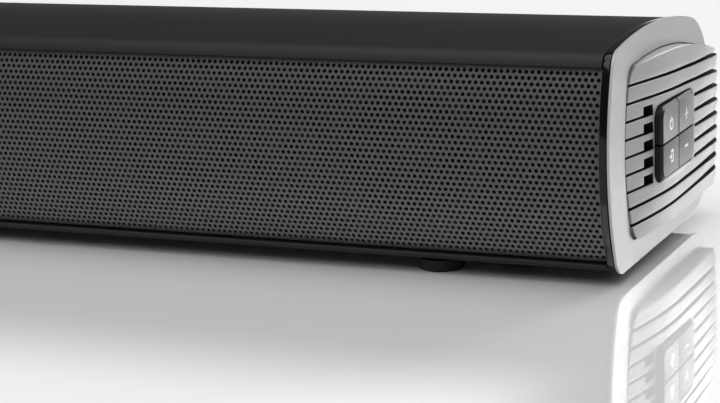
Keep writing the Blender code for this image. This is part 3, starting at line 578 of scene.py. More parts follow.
def wound_copper():
    finish = Finish("wound_copper", (0.5, 0.22, 0.08), 0.35, metallic=0.8)
    turns = finish.node(
        "ShaderNodeTexWave",
        {"wave_type": "BANDS", "bands_direction": "Z"},
        {"Vector": finish.place(), "Scale": 300, "Distortion": 0.3, "Detail": 1},
    )
    finish.set("Base Color", finish.blend(turns, (0.24, 0.09, 0.03), (0.62, 0.3, 0.12)))
    finish.set("Roughness", turns * 0.12 + 0.3)
    finish.bump(turns, 0.6, 0.2)
    return finish.material


ALUMINIUM = plated_steel("aluminium", (0.6, 0.61, 0.63), (0.04, 1, 1))
INSIDE = {
    "circuit_board": circuit_board(),
    "paper_cone": paper_cone(),
    "ferrite": ferrite(),
    "board_wood": fibreboard(),
    "copper_wound": wound_copper(),
    "aluminium": ALUMINIUM,
}
print("inside finishes:", len(INSIDE))

# %% [markdown]
# Every piece of the frame that stays takes the finish of its material slot. Pieces that are
# built again below keep their plain solids for collision only.

# %% Dress the frame's own pieces
SLOT_FINISH = {
    "charcoal_plastic": CHARCOAL,
    "black_sheet": GRILLE_PAINT,
    "gloss_black": GLOSS_BLACK,
    "silver_plastic": FRAME_GREY,
    "louvre_grey": LOUVRE_GREY,
    "button_grey": BUTTON_GREY,
    "black_plastic": BLACK_PLASTIC,
    "rubber": RUBBER,
    "steel": STEEL,
    "black_steel": BASKET_PAINT,
    **INSIDE,
}
for part in frame["record"]["subparts"]:
    materials = frame["nodes"][part["node"]].data.materials
    materials.clear()
    materials.append(SLOT_FINISH[part["material_slot"]])

# %% [markdown]
# ## The perforated grille
# A real grille starts as flat sheet, is punched with staggered holes, then bent over a former.
# The same order works here. Each hole gets a six-cornered cell; cells share their corners like
# bricks in a wall, so the sheet has no gaps. A shader trick could fake the holes, but real
# holes let the light through, show their walls from the side and cast true shadows.

# %% Lay out the holes
PITCH = 2.0  # along a row; rows are staggered by half of it
ROWS = 32
HOLE_RADIUS = 0.68
HOLE_SIDES = 8
SHEET = 0.8
SHEET_SETBACK = 2.7  # behind the end frames' outline
GRILLE_LOW, GRILLE_HIGH = box_mm("front_grille")[0].z, box_mm("front_grille")[1].z
GRILLE_BACK_Y = box_mm("front_grille")[1].y
LAST_COLUMN = int(COVER_HALF / PITCH - 0.25)
PANELS = 4  # the sheet is held as a few long stretches, because it has so many holes

FACE_ARC = FRONT_SIDE.inset(SHEET_SETBACK)
LIP_RADIUS = 0.9  # outside radius where the sheet turns back along its top and bottom
LIP_RISE = 0.62 * LIP_RADIUS


def arc_angle(z):
    return math.asin((z - FACE_ARC.centre.y) / FACE_ARC.radius)


low_angle, high_angle = arc_angle(GRILLE_LOW + LIP_RISE), arc_angle(GRILLE_HIGH - LIP_RISE)
RIM = 0.45  # plain sheet beyond the outer rows' cells
arc_length = (high_angle - low_angle) * FACE_ARC.radius
ROW_PITCH = (arc_length - 2 * RIM) / ROWS
print(f"{ROWS} rows {ROW_PITCH:.2f} mm apart, {2 * LAST_COLUMN + 1} holes in the longest")

# %% [markdown]
# The sheet is drawn flat first, with s running up the bend and x along the bar, and its
# outside face is bent by one function. The inside face is the same drawing pushed back along
# the sheet's own direction, and every open edge, round each hole and round the sheet, gets a
# wall between the two.

# %% Punch, bend and thicken the sheet


def bend(s, depth):
    """Points s up the face and this deep into the sheet, as (y, z), round the lips too."""
    over, under = np.maximum(s - arc_length, 0), np.maximum(-s, 0)
    face = low_angle + np.clip(s, 0, arc_length) / FACE_ARC.radius
    turn_up = np.minimum(over / LIP_RADIUS, math.pi / 2 - high_angle)
    turn_down = np.minimum(under / LIP_RADIUS, math.pi / 2 + low_angle)
    straight = over + under - (turn_up + turn_down) * LIP_RADIUS
    angle = face + turn_up - turn_down
    shared, lip = FACE_ARC.radius - LIP_RADIUS, LIP_RADIUS - depth
    y = FACE_ARC.centre.x - shared * np.cos(face) - lip * np.cos(angle) + straight
    return y, FACE_ARC.centre.y + shared * np.sin(face) + lip * np.sin(angle)


def lip_levels(side):
    """Heights s of the folds past one long edge, side 1 at the top and -1 at the bottom."""
    start, face_angle = (arc_length, high_angle) if side > 0 else (0, low_angle)
    turn = math.pi / 2 - side * face_angle
    folds = [start + side * LIP_RADIUS * turn * k / 4 for k in range(5)]
    reach = GRILLE_BACK_Y - bend(np.array(folds[-1]), 0)[0]
    return folds + [folds[-1] + side * float(reach)]


RING = [(math.pi * 2 * (k + 0.5) / HOLE_SIDES) for k in range(HOLE_SIDES)]
# Corners of a cell from bottom right, anticlockwise, in half pitches and half rows
CELL = ((1, -1), (1, 1), (0, 1), (-1, 1), (-1, -1), (0, -1))
# Faces between a cell's corners (0 to 5) and its hole's points (6 to 13)
CELL_FACES = ((0, 1, 6, 13), (1, 7, 6), (1, 2, 7), (2, 8, 7), (2, 3, 8), (3, 9, 8))
CELL_FACES += ((3, 4, 10, 9), (4, 11, 10), (4, 5, 11), (5, 12, 11), (5, 0, 12), (0, 13, 12))


def flat_panel(first, last):
    """Cells of columns first to last as flat (x, s) points and faces."""
    points, faces = [], []
    half_x, half_s = PITCH / 2, ROW_PITCH / 2
    for row in range(ROWS):
        shift = half_x * (row % 2)
        s = RIM + half_s + row * ROW_PITCH
        ends = last if row % 2 == 0 or last < LAST_COLUMN + 1 else last - 1
        for column in range(first, ends):
            x = column * PITCH + shift
            start = len(points)
            points += [(x + i * half_x, s + j * half_s) for i, j in CELL]
            ring = [(math.cos(t) * HOLE_RADIUS, math.sin(t) * HOLE_RADIUS) for t in RING]
            points += [(x + i, s + j) for i, j in ring]
            faces += [tuple(start + k for k in face) for face in CELL_FACES]
    return points, faces


def plain_edges(first, last):
    """The sheet's plain rims and lips, and its plain ends beside the outer cells."""
    points, faces = [], []

    def patch(corners, forwards=True):
        start, count = len(points), len(corners)
        points.extend(corners if forwards else corners[::-1])
        faces.append(tuple(range(start, start + count)))

    half_x = PITCH / 2
    top = RIM + ROWS * ROW_PITCH
    at_left, at_right = bool(first == -LAST_COLUMN), bool(last == LAST_COLUMN + 1)
    even, odd = (LAST_COLUMN + 0.5) * PITCH, LAST_COLUMN * PITCH
    for shift, inner, side in ((0, RIM, -1), (half_x * ((ROWS - 1) % 2), top, 1)):
        count = 2 * int(last - first - (1 if shift and at_right else 0))
        start = first * PITCH - half_x + shift
        stops = [start + k * half_x for k in range(count + 1)]
        tail = [even, COVER_HALF] if shift else [COVER_HALF]
        stops = [-x for x in tail[::-1]] * at_left + stops + tail * at_right
        levels = [inner] + lip_levels(side)
        for s, outer_s in zip(levels, levels[1:]):
            for a, b in zip(stops, stops[1:]):
                patch([(a, s), (b, s), (b, outer_s), (a, outer_s)], side > 0)
    for side, at_end in ((-1, at_left), (1, at_right)):
        for row in range(ROWS if at_end else 0):
            low, high = RIM + row * ROW_PITCH, RIM + (row + 1) * ROW_PITCH
            marks = [even, COVER_HALF] if row % 2 == 0 else [odd, even, COVER_HALF]
            corners = [(side * x, low) for x in marks]
            corners += [(side * x, high) for x in reversed(marks)]
            patch(corners, side > 0)
    return points, faces


def weld(points, faces):
    """Merge points that coincide; returns the points once each and renumbered faces."""
    keys = np.round(np.array(points) * 2000).astype(np.int64)
    _, first, back = np.unique(keys, axis=0, return_index=True, return_inverse=True)
    back = back.reshape(-1)
    return np.array(points)[first], [tuple(int(back[i]) for i in face) for face in faces]


def thicken(name, flat, faces, finish):
    """Bend a flat drawing into a closed sheet with walls at every open edge."""
    count = len(flat)
    x = MIDDLE_X + flat[:, 0]
    skins = []
    for depth in (0, SHEET):
        y, z = bend(flat[:, 1], depth)
        skins.append(np.column_stack([x, y, z]))
    directed = {edge for face in faces for edge in zip(face, face[1:] + face[:1])}
    walls = [(b, a, a + count, b + count) for a, b in directed if (b, a) not in directed]
    back = [tuple(i + count for i in reversed(face)) for face in faces]
    every = faces + back + walls
    mesh = bpy.data.meshes.new(name)
    loops = np.fromiter((i for face in every for i in face), np.int32)
    sizes = np.fromiter((len(face) for face in every), np.int32)
    mesh.vertices.add(2 * count)
    mesh.vertices.foreach_set("co", (np.concatenate(skins) * MM).astype(np.float32).ravel())
    mesh.loops.add(len(loops))
    mesh.loops.foreach_set("vertex_index", loops)
    mesh.polygons.add(len(sizes))
    mesh.polygons.foreach_set("loop_start", np.cumsum(sizes) - sizes)
    mesh.update(calc_edges=True)
    mesh.validate()
    return dress(name, mesh, finish, 40)


columns = np.linspace(-LAST_COLUMN, LAST_COLUMN + 1, PANELS + 1).round().astype(int)
for number, (first, last) in enumerate(zip(columns[:-1], columns[1:]), 1):
    cells, edges = flat_panel(first, last), plain_edges(first, last)
    shifted = [tuple(i + len(cells[0]) for i in face) for face in edges[1]]
    flat, faces = weld(cells[0] + edges[0], cells[1] + shifted)
    panel = thicken(f"grille_panel_{number}", flat, faces, GRILLE_PAINT)
    settle(panel, "black_sheet", "front_grille")
    print(f"{panel.name}: {len(panel.data.polygons)} faces")

# %% [markdown]
# ## Covers
# The covers are long extrusions, so each is one closed profile pulled along the bar. The
# profile is a stretch of the section, offset inwards for the wall's other face. Small rounds
# on its long edges catch the light, as moulded edges do; a Bevel modifier adds them.

# %% Profiles cut from the section
COVER_INSET = 0.5
WALL = 2.4
COVER_BACK_Y = box_mm("top_cover")[1].y


def stretch_of(loop, keep):
    """The points of a loop for which keep is true, with exact ends."""
    flags = [keep(*point) for point in loop]
    first = next(i for i in range(len(loop)) if flags[i] and not flags[i - 1])
    turned = loop[first:] + loop[:first]
    inside = [point for point in turned if keep(*point)]

    def meet(inner, outer):
        for _ in range(24):
            middle = ((inner[0] + outer[0]) / 2, (inner[1] + outer[1]) / 2)
            inner, outer = (middle, outer) if keep(*middle) else (inner, middle)
        return inner

    return [meet(inside[0], turned[-1]), *inside, meet(inside[-1], turned[len(inside)])]


def soften(made, width, segments=3, angle=50):
    """Round a piece's sharp edges."""
    edge = made.modifiers.new("softened edges", "BEVEL")
    edge.width, edge.segments = width * MM, segments
    edge.limit_method, edge.angle_limit = "ANGLE", math.radians(angle)
    edge.harden_normals = False
    return made


def cover(name, slot, finish, keep):
    outer = stretch_of(section(COVER_INSET), keep)
    inner = stretch_of(section(COVER_INSET + WALL), keep)
    profile = outer + inner[::-1]
    rings = [along_x(profile, x) for x in (-COVER_HALF, COVER_HALF)]
    made = soften(make_piece(f"{name}_shell", *join_rings(rings), finish), 0.35)
    return settle(made, slot, name)


seam_high, seam_low = GRILLE_HIGH + 0.3, GRILLE_LOW - 0.3
middle_z = (BOTTOM_Z + TOP_Z) / 2
tops = cover(
    "top_cover",
    "charcoal_plastic",
    CHARCOAL,
    lambda y, z: z > (seam_high if y < 0 else middle_z) and y < COVER_BACK_Y,
)
bottoms = cover(
    "bottom_cover",
    "black_plastic",
    BLACK_PLASTIC,
    lambda y, z: z < (seam_low if y < 0 else middle_z) and y < COVER_BACK_Y,
)
print("cover profiles:", len(tops.data.vertices) // 2, len(bottoms.data.vertices) // 2)

# %% [markdown]
# ## Bands and end frames
# A gloss band runs right round the section. It is a hoop: the same outline drawn at several
# insets and depths, joined round to where it started. Two of those depths sit close together
# at each outer edge, which makes the soft round that shows as a thin bright line.

# %% Gloss bands
band_low, band_high = (corner.x - MIDDLE_X for corner in box_mm("end_band_right"))
BAND_INSET, BAND_WALL, BAND_ROUND = 0.4, 2.0, 0.35


def rounded_hoop(low, high, inset, wall, radius):
    """Rings round the section for a flat hoop with its outer edges rounded."""
    rings = []
    for edge, side in ((low, 1), (high, -1)):
        turns = [math.pi / 2 * k / 4 for k in range(5)]
        rounds = [
            (edge + side * radius * (1 - math.sin(t)), inset + radius * (1 - math.cos(t)))
            for t in turns
        ]
        rings += rounds[::-1] if side > 0 else rounds
    rings += [(high, inset + wall), (low, inset + wall)]
    return [along_x(section(depth), x) for x, depth in rings]


hoop = join_rings(rounded_hoop(band_low, band_high, BAND_INSET, BAND_WALL, BAND_ROUND), True)
for side, band in both_ends("gloss_band", *hoop, GLOSS_BLACK, 60):
    settle(band, "gloss_black", f"end_band_{side}")
print("band width:", round(band_high - band_low, 2), "mm")

# %% [markdown]
# The end frame is a C: a flat plate whose window runs out at the back, where the cap's
# louvres come through. A plate with its window cut out by a Boolean keeps both outlines
# exact, and one bevel then rounds every edge the same, as a polishing wheel would.

# %% End frames
FRAME_BORDERS = (16.0, 8.6, 7.6)  # front, top, bottom
FRAME_FLANGE = 0.8
WINDOW_RADIUS = 6.0
frame_back_x = right_low.x - MIDDLE_X


def window(inset, back_y, back_radius):
    """The end frame's opening, moved inwards."""
    front, top, bottom = (border + inset for border in FRAME_BORDERS)
    sides = [FRONT_SIDE.inset(front), TOP_SIDE.inset(top), Flat((back_y, 0), (1, 0))]
    sides.append(BOTTOM_SIDE.inset(bottom))
    front_radius = WINDOW_RADIUS - inset
    return outline(sides, (front_radius, back_radius, back_radius, front_radius))


def cut(target, points, faces, operation="DIFFERENCE"):
    """Apply a Boolean with a tool that is thrown away afterwards."""
    tool = make_piece("cutting tool", points, faces, target.data.materials[0])
    modifier = target.modifiers.new("cut", "BOOLEAN")
    modifier.operation, modifier.solver, modifier.object = operation, "EXACT", tool
    bpy.context.view_layer.update()
    shape = target.evaluated_get(bpy.context.evaluated_depsgraph_get())
    result = bpy.data.meshes.new_from_object(shape)
    target.modifiers.clear()
    old, target.data = target.data, result
    bpy.data.meshes.remove(old)
    bpy.data.objects.remove(tool)
    target.data.shade_smooth()
    target.data.set_sharp_from_angle(angle=math.radians(32))
    return target


def prism(loop, low, high):
    return join_rings([along_x(loop, low), along_x(loop, high)])


# The core lies behind the flange, inside the band
CORE_INSET = 2.7
plate = [(frame_back_x, CORE_INSET), (HALF - FRAME_FLANGE, CORE_INSET)]
plate += [(HALF - FRAME_FLANGE, 0), (HALF, 0)]
plate_rings = [along_x(section(inset), x) for x, inset in plate]
for side, c_frame in both_ends("satin_frame", *join_rings(plate_rings), FRAME_GREY):
    reach = 1 if side == "right" else -1
    opening = prism(window(0, 2 * BACK_Y, WINDOW_RADIUS), HALF - 20, HALF + 20)
    cut(c_frame, opening[0] if reach > 0 else mirror_x(opening[0]), opening[1])
    soften(c_frame, 0.28, 3, 40)
    settle(c_frame, "silver_plastic", f"end_frame_{side}")
print("frame plate from", round(frame_back_x, 1), "to", round(HALF, 1), "mm")

# %% [markdown]
# ## Louvred caps
# The cap swells out of the frame's window and is cut into level louvres that run off its back
# edge. Each louvre leans: it stands proudest at its upper edge. Drawn across, from bottom to
# top, the cap is a comb, so the mesh is that comb drawn at many places from front to back.
# Where the buttons sit on the right-hand cap, the comb's gaps close up, which leaves a plain
# field with a square notch at the end of each gap in front of it.

# %% The cap's surface and gaps
CAP_GAP = 0.4
CAP_BACK_RADIUS = 8.0
CAP_BULGE = box_mm("end_cap_right")[1].x - MIDDLE_X - HALF
RISE, FALL = 45.0, 13.0  # how far the swelling takes to rise, and to round off at the back
SWELL_START = FRONT_Y + FRAME_BORDERS[0]
CROWN = 0.3  # the share that the swelling loses towards the top and the bottom
GAPS = 9
GAP_FRONT = (16.9, 5.5, -41.0)  # lowest gap's height, spacing and where that is measured
GAP_BACK = (17.7, 4.9, 44.0)
GAP_ARCH = 0.7  # the upper gaps arch by this much
GAP_FLOOR = -2.5  # from the end frame's face
LEAN = 0.8  # a louvre's lower edge lies this far behind its upper edge, at the back
EDGE_ROUND = 0.22

BLOCK_FORWARD = 2.0  # the flat-faced block starts this far in front of the plain buttons
cluster_low, cluster_high = box_mm("button_source")[0], box_mm("button_volume_up")[1]
CLUSTER = (cluster_low.y - BLOCK_FORWARD, cluster_low.z, cluster_high.y, cluster_high.z)
FIELD_SIDE, FIELD_EDGE = 1.5, 1.4  # plain field beside, and above and below, the buttons
NOTCH_LENGTH, NOTCH_HEIGHT = 7.0, 3.4
field_start, field_end = CLUSTER[0] - FIELD_SIDE, CLUSTER[2] + FIELD_SIDE
notch_start = field_start - NOTCH_LENGTH


def smooth(share):
    share = min(max(share, 0), 1)
    return (1 - math.cos(math.pi * share)) / 2


def swelling(y, z=None):
    """How far the cap stands out of the end frame's face; it is highest at mid height."""
    crown = 0 if z is None else CROWN * ((z - middle_z) / (TOP_Z - middle_z)) ** 2
    if y < BACK_Y - FALL:
        share = min(max((y - SWELL_START) / RISE, 0), 1)
        return CAP_BULGE * math.sin(math.pi / 2 * share) * (1 - crown)
    share = min((y - BACK_Y + FALL) / FALL, 1)
    return CAP_BULGE * math.sqrt(max(1 - share**2, 0.01)) * (1 - crown)


def gap_middle(k, y):
    front = GAP_FRONT[0] + k * GAP_FRONT[1]
    back = GAP_BACK[0] + k * GAP_BACK[1]
    share = (y - GAP_FRONT[2]) / (GAP_BACK[2] - GAP_FRONT[2])
    return front + (back - front) * share + GAP_ARCH * k / GAPS * 4 * share * (1 - share)


def gap_height(k, y):
    """Gaps widen towards the back, and the two lowest are wider."""
    share = smooth((y - GAP_FRONT[2]) / (GAP_BACK[2] - GAP_FRONT[2]))
    return (1.05 if k < 2 else 0.8) + 0.45 * share


def behind_buttons(k):
    middle = gap_middle(k, (CLUSTER[0] + CLUSTER[2]) / 2)
    reach = FIELD_EDGE + 0.65
    return CLUSTER[1] - reach < middle < CLUSTER[3] + reach


cap_outline = window(CAP_GAP, BACK_Y, CAP_BACK_RADIUS)
CAP_LOW_Z, CAP_HIGH_Z = (edge(z for _, z in cap_outline) for edge in (min, max))
print(f"cap stands {CAP_BULGE:.1f} mm out of the frame")


# %% [markdown]
# The comb is written once, as a loop over the louvres, and drawn at many stations. A function
# says how far back each of its points lies, so the first comb can follow the window's curved
# front edge and the last one the cap's rounded back edge, while those between run square.

# %% Draw the comb from front to back
TEETH = 11  # comb points per louvre: nine on its face and two on the floor of the gap above
LOUVRE_SHARES = (0, 0.03, 0.07, 0.25, 0.5, 0.75, 0.93, 0.97, 1)
EDGE_SHARE = 0.07  # the part of a louvre's height that its edge round takes
STATIONS = {"front": 22, "notch": 5, "field": 16, "back": 34}
CLEARLY_SUNK = 1.5  # a face that reaches this far below the surface lines a gap
STEP_IN = 0.05  # walls between zones stand just off square, so no two faces coincide


def condition_of(k, state):
    """A gap is open, notched, or closed where the buttons' field is."""
    if not 0 <= k < GAPS:
        return "gap"
    return state if behind_buttons(k) else "gap"


def comb(y_of, state):
    """The cap's outline across it; y_of(z) gives the depth of a point at height z."""
    top_arc = TOP_SIDE.inset(FRAME_BORDERS[1] + CAP_GAP)
    upper_edge = CAP_LOW_Z
    ring, spine = [], []
    for k in range(GAPS + 1):
        bottom = upper_edge
        if k < GAPS:
            guess = y_of(GAP_FRONT[0] + k * GAP_FRONT[1])
            middle, half = gap_middle(k, guess), gap_height(k, guess) / 2
            top, upper_edge = middle - half, middle + half
            if condition_of(k, state) == "notch":
                upper_edge = top + NOTCH_HEIGHT
        else:
            run = y_of(bottom + 5) - top_arc.centre.x
            top = top_arc.centre.y + math.sqrt(top_arc.radius**2 - run**2)
        sides = [condition_of(j, state) == "field" for j in (k - 1, k)]
        for share in LOUVRE_SHARES:
            z = bottom + (top - bottom) * share
            y = y_of(z)
            lean = LEAN * (1 - share) * smooth((y - field_end) / (BACK_Y - field_end - 5))
            corner = 0 if sides[share > 0.5] else max(1 - min(share, 1 - share) / EDGE_SHARE, 0)
            drop = EDGE_ROUND * (1 - math.sqrt(max(1 - corner**2, 0)))
            out = swelling(y, z)
            ring.append((HALF + out - lean * out / CAP_BULGE - drop, y, z))
        spine += [(frame_back_x, y_of(bottom), bottom), (frame_back_x, y_of(top), top)]
        if k < GAPS:
            for z in (top, upper_edge):
                y = y_of(z)
                floor = HALF + swelling(y, z) if sides[1] else HALF + GAP_FLOOR
                ring.append((floor, y, z))
    return [(MIDDLE_X + x, y, z) for x, y, z in ring + spine[::-1]]


def cap_rings(with_field):
    """Combs at stations from the curved front edge to the rounded back edge."""

    def edge_at(z, side):
        inside = min(max(z, CAP_LOW_Z + 0.01), CAP_HIGH_Z - 0.01)
        return crossings(cap_outline, 1, inside)[side]

    front_at, back_at = (lambda z: edge_at(z, 0)), (lambda z: edge_at(z, 1))
    zones = [(front_at, notch_start, "gap", STATIONS["front"])]
    zones += [(notch_start + STEP_IN, field_start, "notch", STATIONS["notch"])]
    zones += [(field_start + STEP_IN, field_end, "field", STATIONS["field"])]
    zones += [(field_end + STEP_IN, back_at, "gap", STATIONS["back"])]
    rings = []
    for start, end, state, steps in zones:
        for step in range(steps + 1):
            share = step / steps
            if callable(end):
                share = 1 - (1 - share) ** 1.6
            begin = start if callable(start) else (lambda z, fixed=start: fixed)
            finish = end if callable(end) else (lambda z, fixed=end: fixed)
            y_of = lambda z, s=share, a=begin, b=finish: a(z) + (b(z) - a(z)) * s
            rings.append(comb(y_of, state if with_field else "gap"))
    return rings


# %% [markdown]
# The first and last combs close the solid. One face as jagged as a whole comb can fold over
# itself, and then a Boolean cannot tell inside from outside. One face per louvre and one per
# gap avoids that. The walls and floors of the gaps are found here too, to take painted shade:
# a near-black that stands for the dark deep in the narrow gaps.

# %% Close the comb's ends and find its gaps
LAST = TEETH * GAPS + 9 + 2 * (GAPS + 1) - 1  # the comb's last point
louvre_ends = []
for k in range(GAPS + 1):
    first_point = TEETH * k - (k > 0)
    face_points = range(first_point, TEETH * k + 9 + (k < GAPS))
    louvre_ends.append((*face_points, LAST - 1 - 2 * k, LAST - 2 * k))
gap_ends = [
    (TEETH * k + 9, TEETH * k + 10, LAST - 2 - 2 * k, LAST - 1 - 2 * k) for k in range(GAPS)
]
cap_solid = {
    side: join_rings(cap_rings(side == "right"), ends=louvre_ends + gap_ends)
    for side in ("right", "left")
}


def gap_shade_faces(points, faces):
    """Which faces line a gap, to take painted shade: they join a tooth's sides or floor and lie
    below the surface.
    """
    inside = []
    for number, face in enumerate(faces):
        places = [i % (LAST + 1) for i in face]
        walls = all(i <= TEETH * GAPS and i % TEETH in (8, 9, 10, 0) for i in places)
        sunk = [HALF + swelling(*points[i][1:]) - points[i][0] + MIDDLE_X for i in face]
        if len(face) == 4 and walls and len(set(places)) == 2 and max(sunk) > CLEARLY_SUNK:
            inside.append(number)
    return inside


print("cap faces:", {side: len(faces) for side, (_, faces) in cap_solid.items()})

# %% [markdown]
# ## Buttons
# Four buttons share one rounded opening in the right-hand cap. The cap's edge there is
# chamfered, so it shows as a bright line. Each button keeps its place in the rounded block:
# only its outside edges are bevelled, and the seams between buttons stay crisp. The block's
# face is flat, so it stands further out of the swelling cap at its front edge.

# %% Cut the buttons' opening and set the caps in place
BUTTON_ROUND, BUTTON_CLEARANCE = 4.0, 0.5
MOUTH_CHAMFER = 0.35


def rounded_rectangle(low, high, radii, steps=7):
    """A (y, z) loop; radii run anticlockwise from the back top corner."""
    places = ((high[0], high[1]), (low[0], high[1]), (low[0], low[1]), (high[0], low[1]))
    loop = []
    for quarter, ((y, z), radius) in enumerate(zip(places, radii)):
        side_y, side_z = (1, -1, -1, 1)[quarter], (1, 1, -1, -1)[quarter]
        for k in range(steps + 1):
            turn = math.pi / 2 * (quarter + k / steps)
            loop.append(
                (
                    y - side_y * radius + radius * math.cos(turn),
                    z - side_z * radius + radius * math.sin(turn),
                )
            )
    return loop


def on_face(loop, proud):
    """A loop laid on the cap's swelling surface, or proud of it."""
    return [(MIDDLE_X + HALF + swelling(y, z) + proud, y, z) for y, z in loop]


def cluster_loop(grow):
    low = (CLUSTER[0] - grow, CLUSTER[1] - grow)
    high = (CLUSTER[2] + grow, CLUSTER[3] + grow)
    return rounded_rectangle(low, high, [BUTTON_ROUND + grow] * 4)


def louvred_cap(side):
    points, faces = cap_solid[side]
    where = points if side == "right" else mirror_x(points)
    # The faces lining the gaps take the near-black second finish: painted shade for the dark deep
    # in the narrow gaps.
    finish, dark = (LOUVRE_GREY, GAP_PAINTED_SHADE), gap_shade_faces(points, faces)
    return make_piece(f"louvred_cap_{side}", where, faces, finish, lined=dark)


right_cap, left_cap = louvred_cap("right"), louvred_cap("left")
flare = 4.0
mouth = [
    along_x(cluster_loop(BUTTON_CLEARANCE), frame_back_x - 3),
    on_face(cluster_loop(BUTTON_CLEARANCE), -MOUTH_CHAMFER),
    on_face(cluster_loop(BUTTON_CLEARANCE + MOUTH_CHAMFER), 0),
    on_face(cluster_loop(BUTTON_CLEARANCE + MOUTH_CHAMFER + flare), flare),
]
cut(right_cap, *join_rings(mouth))
settle(right_cap, "louvre_grey", "end_cap_right")
settle(left_cap, "louvre_grey", "end_cap_left")
print("right cap faces:", len(right_cap.data.polygons))

# %% [markdown]
# A button's body is a stack of rings again. The first ring is at its back, then come the start
# and end of the outside bevel, and last the rounded rim of its flat face. Its side walls and
# outside bevel take a near-black second finish: painted shade for the shade on the button's sides.

# %% Make the four buttons
FACE_X = HALF + CAP_BULGE + 0.5  # all four faces lie here
BEVEL, BEVEL_DROP = 1.3, 0.85
SEAM_ROUND = 0.12
middle = ((CLUSTER[0] + CLUSTER[2]) / 2, (CLUSTER[1] + CLUSTER[3]) / 2)
SEAM = 0.35  # half the gap between buttons
BUTTONS = {
    "button_power": (-1, 1),
    "button_volume_up": (1, 1),
    "button_source": (-1, -1),
    "button_volume_down": (1, -1),
}
face_centres = {}


def tile(side_y, side_z, outside, inside):
    """One quarter of the cluster, inset at its outside edges and at its seams."""
    outer_y = (CLUSTER[0], CLUSTER[2])[side_y > 0] - side_y * outside
    outer_z = (CLUSTER[1], CLUSTER[3])[side_z > 0] - side_z * outside
    inner_y = middle[0] + side_y * (SEAM + inside)
    inner_z = middle[1] + side_z * (SEAM + inside)
    low = (min(outer_y, inner_y), min(outer_z, inner_z))
    high = (max(outer_y, inner_y), max(outer_z, inner_z))
    corners = ((1, 1), (-1, 1), (-1, -1), (1, -1))
    radii = [BUTTON_ROUND - outside if c == (side_y, side_z) else 0.15 for c in corners]
    return rounded_rectangle(low, high, radii)


for name, (side_y, side_z) in BUTTONS.items():
    back_x = box_mm(name)[0].x - MIDDLE_X
    face = tile(side_y, side_z, BEVEL, SEAM_ROUND)
    centre = tuple(sum(point[i] for point in face) / len(face) for i in (0, 1))
    face_centres[name] = centre
    rings = [
        along_x(tile(side_y, side_z, 0, 0), back_x),
        along_x(tile(side_y, side_z, 0, 0), FACE_X - BEVEL_DROP),
        along_x(tile(side_y, side_z, BEVEL - 0.1, 0), FACE_X - 0.05),
        along_x(face, FACE_X),
    ]
    # Side walls and outside bevel: painted shade, near-black in place of the shade on them.
    walls = range(2 * len(face))
    button = make_piece(f"{name}_cap", *join_rings(rings), (BUTTON_GREY, BUTTON_PAINTED_SHADE), 25, walls)
    settle(button, "button_grey", name, body=name)
print("button faces:", {k: tuple(round(c, 1) for c in v) for k, v in face_centres.items()})

# %% [markdown]
# The symbols are printed in white ink: power, plus, input and minus, which are generic signs.
# Ink has a real thickness, so each stroke is a thin strip laid on the face. A stroke is a line
# with a width, drawn by stepping sideways from each of its points.

# %% Print the symbols
INK_HEIGHT = 0.05
STROKE = 0.8


def stroke(path, width=STROKE):
    """A closed strip of this width along a path of (y, z) points."""
    left, right = [], []
    for i, (y, z) in enumerate(path):
        before, after = path[max(i - 1, 0)], path[min(i + 1, len(path) - 1)]
        along = Vector((after[0] - before[0], after[1] - before[1])).normalized()
        sideways = Vector((-along.y, along.x)) * width / 2
        left.append((y + sideways.x, z + sideways.y))
        right.append((y - sideways.x, z - sideways.y))
    return left + right[::-1]


def line(start, end, steps=6):
    shares = [k / steps for k in range(steps + 1)]
    return [tuple(a + (b - a) * s for a, b in zip(start, end)) for s in shares]


def arc(radius, start, end, steps=24):
    turns = [math.radians(start + (end - start) * k / steps) for k in range(steps + 1)]
    return [(radius * math.cos(t), radius * math.sin(t)) for t in turns]


arrow = [line((-2.2, 0), (0.6, 0)), line((-0.3, 0.9), (0.6, 0), 3), line((-0.3, -0.9), (0.6, 0), 3)]
bracket = line((-0.5, 1.7), (1.9, 1.7)) + line((1.9, 1.7), (1.9, -1.7))[1:]
bracket += line((1.9, -1.7), (-0.5, -1.7))[1:]
SYMBOLS = {
    "button_power": [arc(1.75, 125, 415), line((0, 0.4), (0, 2.3))],
    "button_volume_up": [line((-1.9, 0), (1.9, 0)), line((0, -1.9), (0, 1.9))],
    "button_source": [bracket, *arrow],
    "button_volume_down": [line((-1.9, 0), (1.9, 0))],
}
for name, paths in SYMBOLS.items():
    points, faces = [], []
    for path in paths:
        here = [tuple(p + c for p, c in zip(point, face_centres[name])) for point in path]
        strip = stroke(here)
        rings = [along_x(strip, FACE_X - 0.02), along_x(strip, FACE_X + INK_HEIGHT)]
        more_points, more_faces = join_rings(rings)
        faces += [tuple(i + len(points) for i in face) for face in more_faces]
        points += more_points
    symbol = make_piece(f"{name}_symbol", points, faces, INK)
    settle(symbol, "button_grey", body=name)
print("symbols:", len(SYMBOLS))

# %% [markdown]
# ## Feet, screws and sockets
# Small round parts are turned: a half-profile spun round an axis. Feet have a soft rim and a
# shallow hollow underneath that grips the shelf. Screw heads are domed, with a cross recess.

# %% Turn small round parts


def turned(name, profile, centre, axis, finish, sides=32, sharp=40):
    """Spin a closed (radius, along) profile round the Y or Z axis."""
    rings = []
    for k in range(sides):
        turn = 2 * math.pi * k / sides
        across = [(r * math.cos(turn), r * math.sin(turn), a) for r, a in profile]
        if axis == "Z":
            ring = [(centre[0] + p, centre[1] + q, a) for p, q, a in across]
        else:
            ring = [(centre[0] + p, a, centre[1] + q) for p, q, a in across]
        rings.append(ring)
    return make_piece(name, *join_rings(rings, True), finish, sharp)


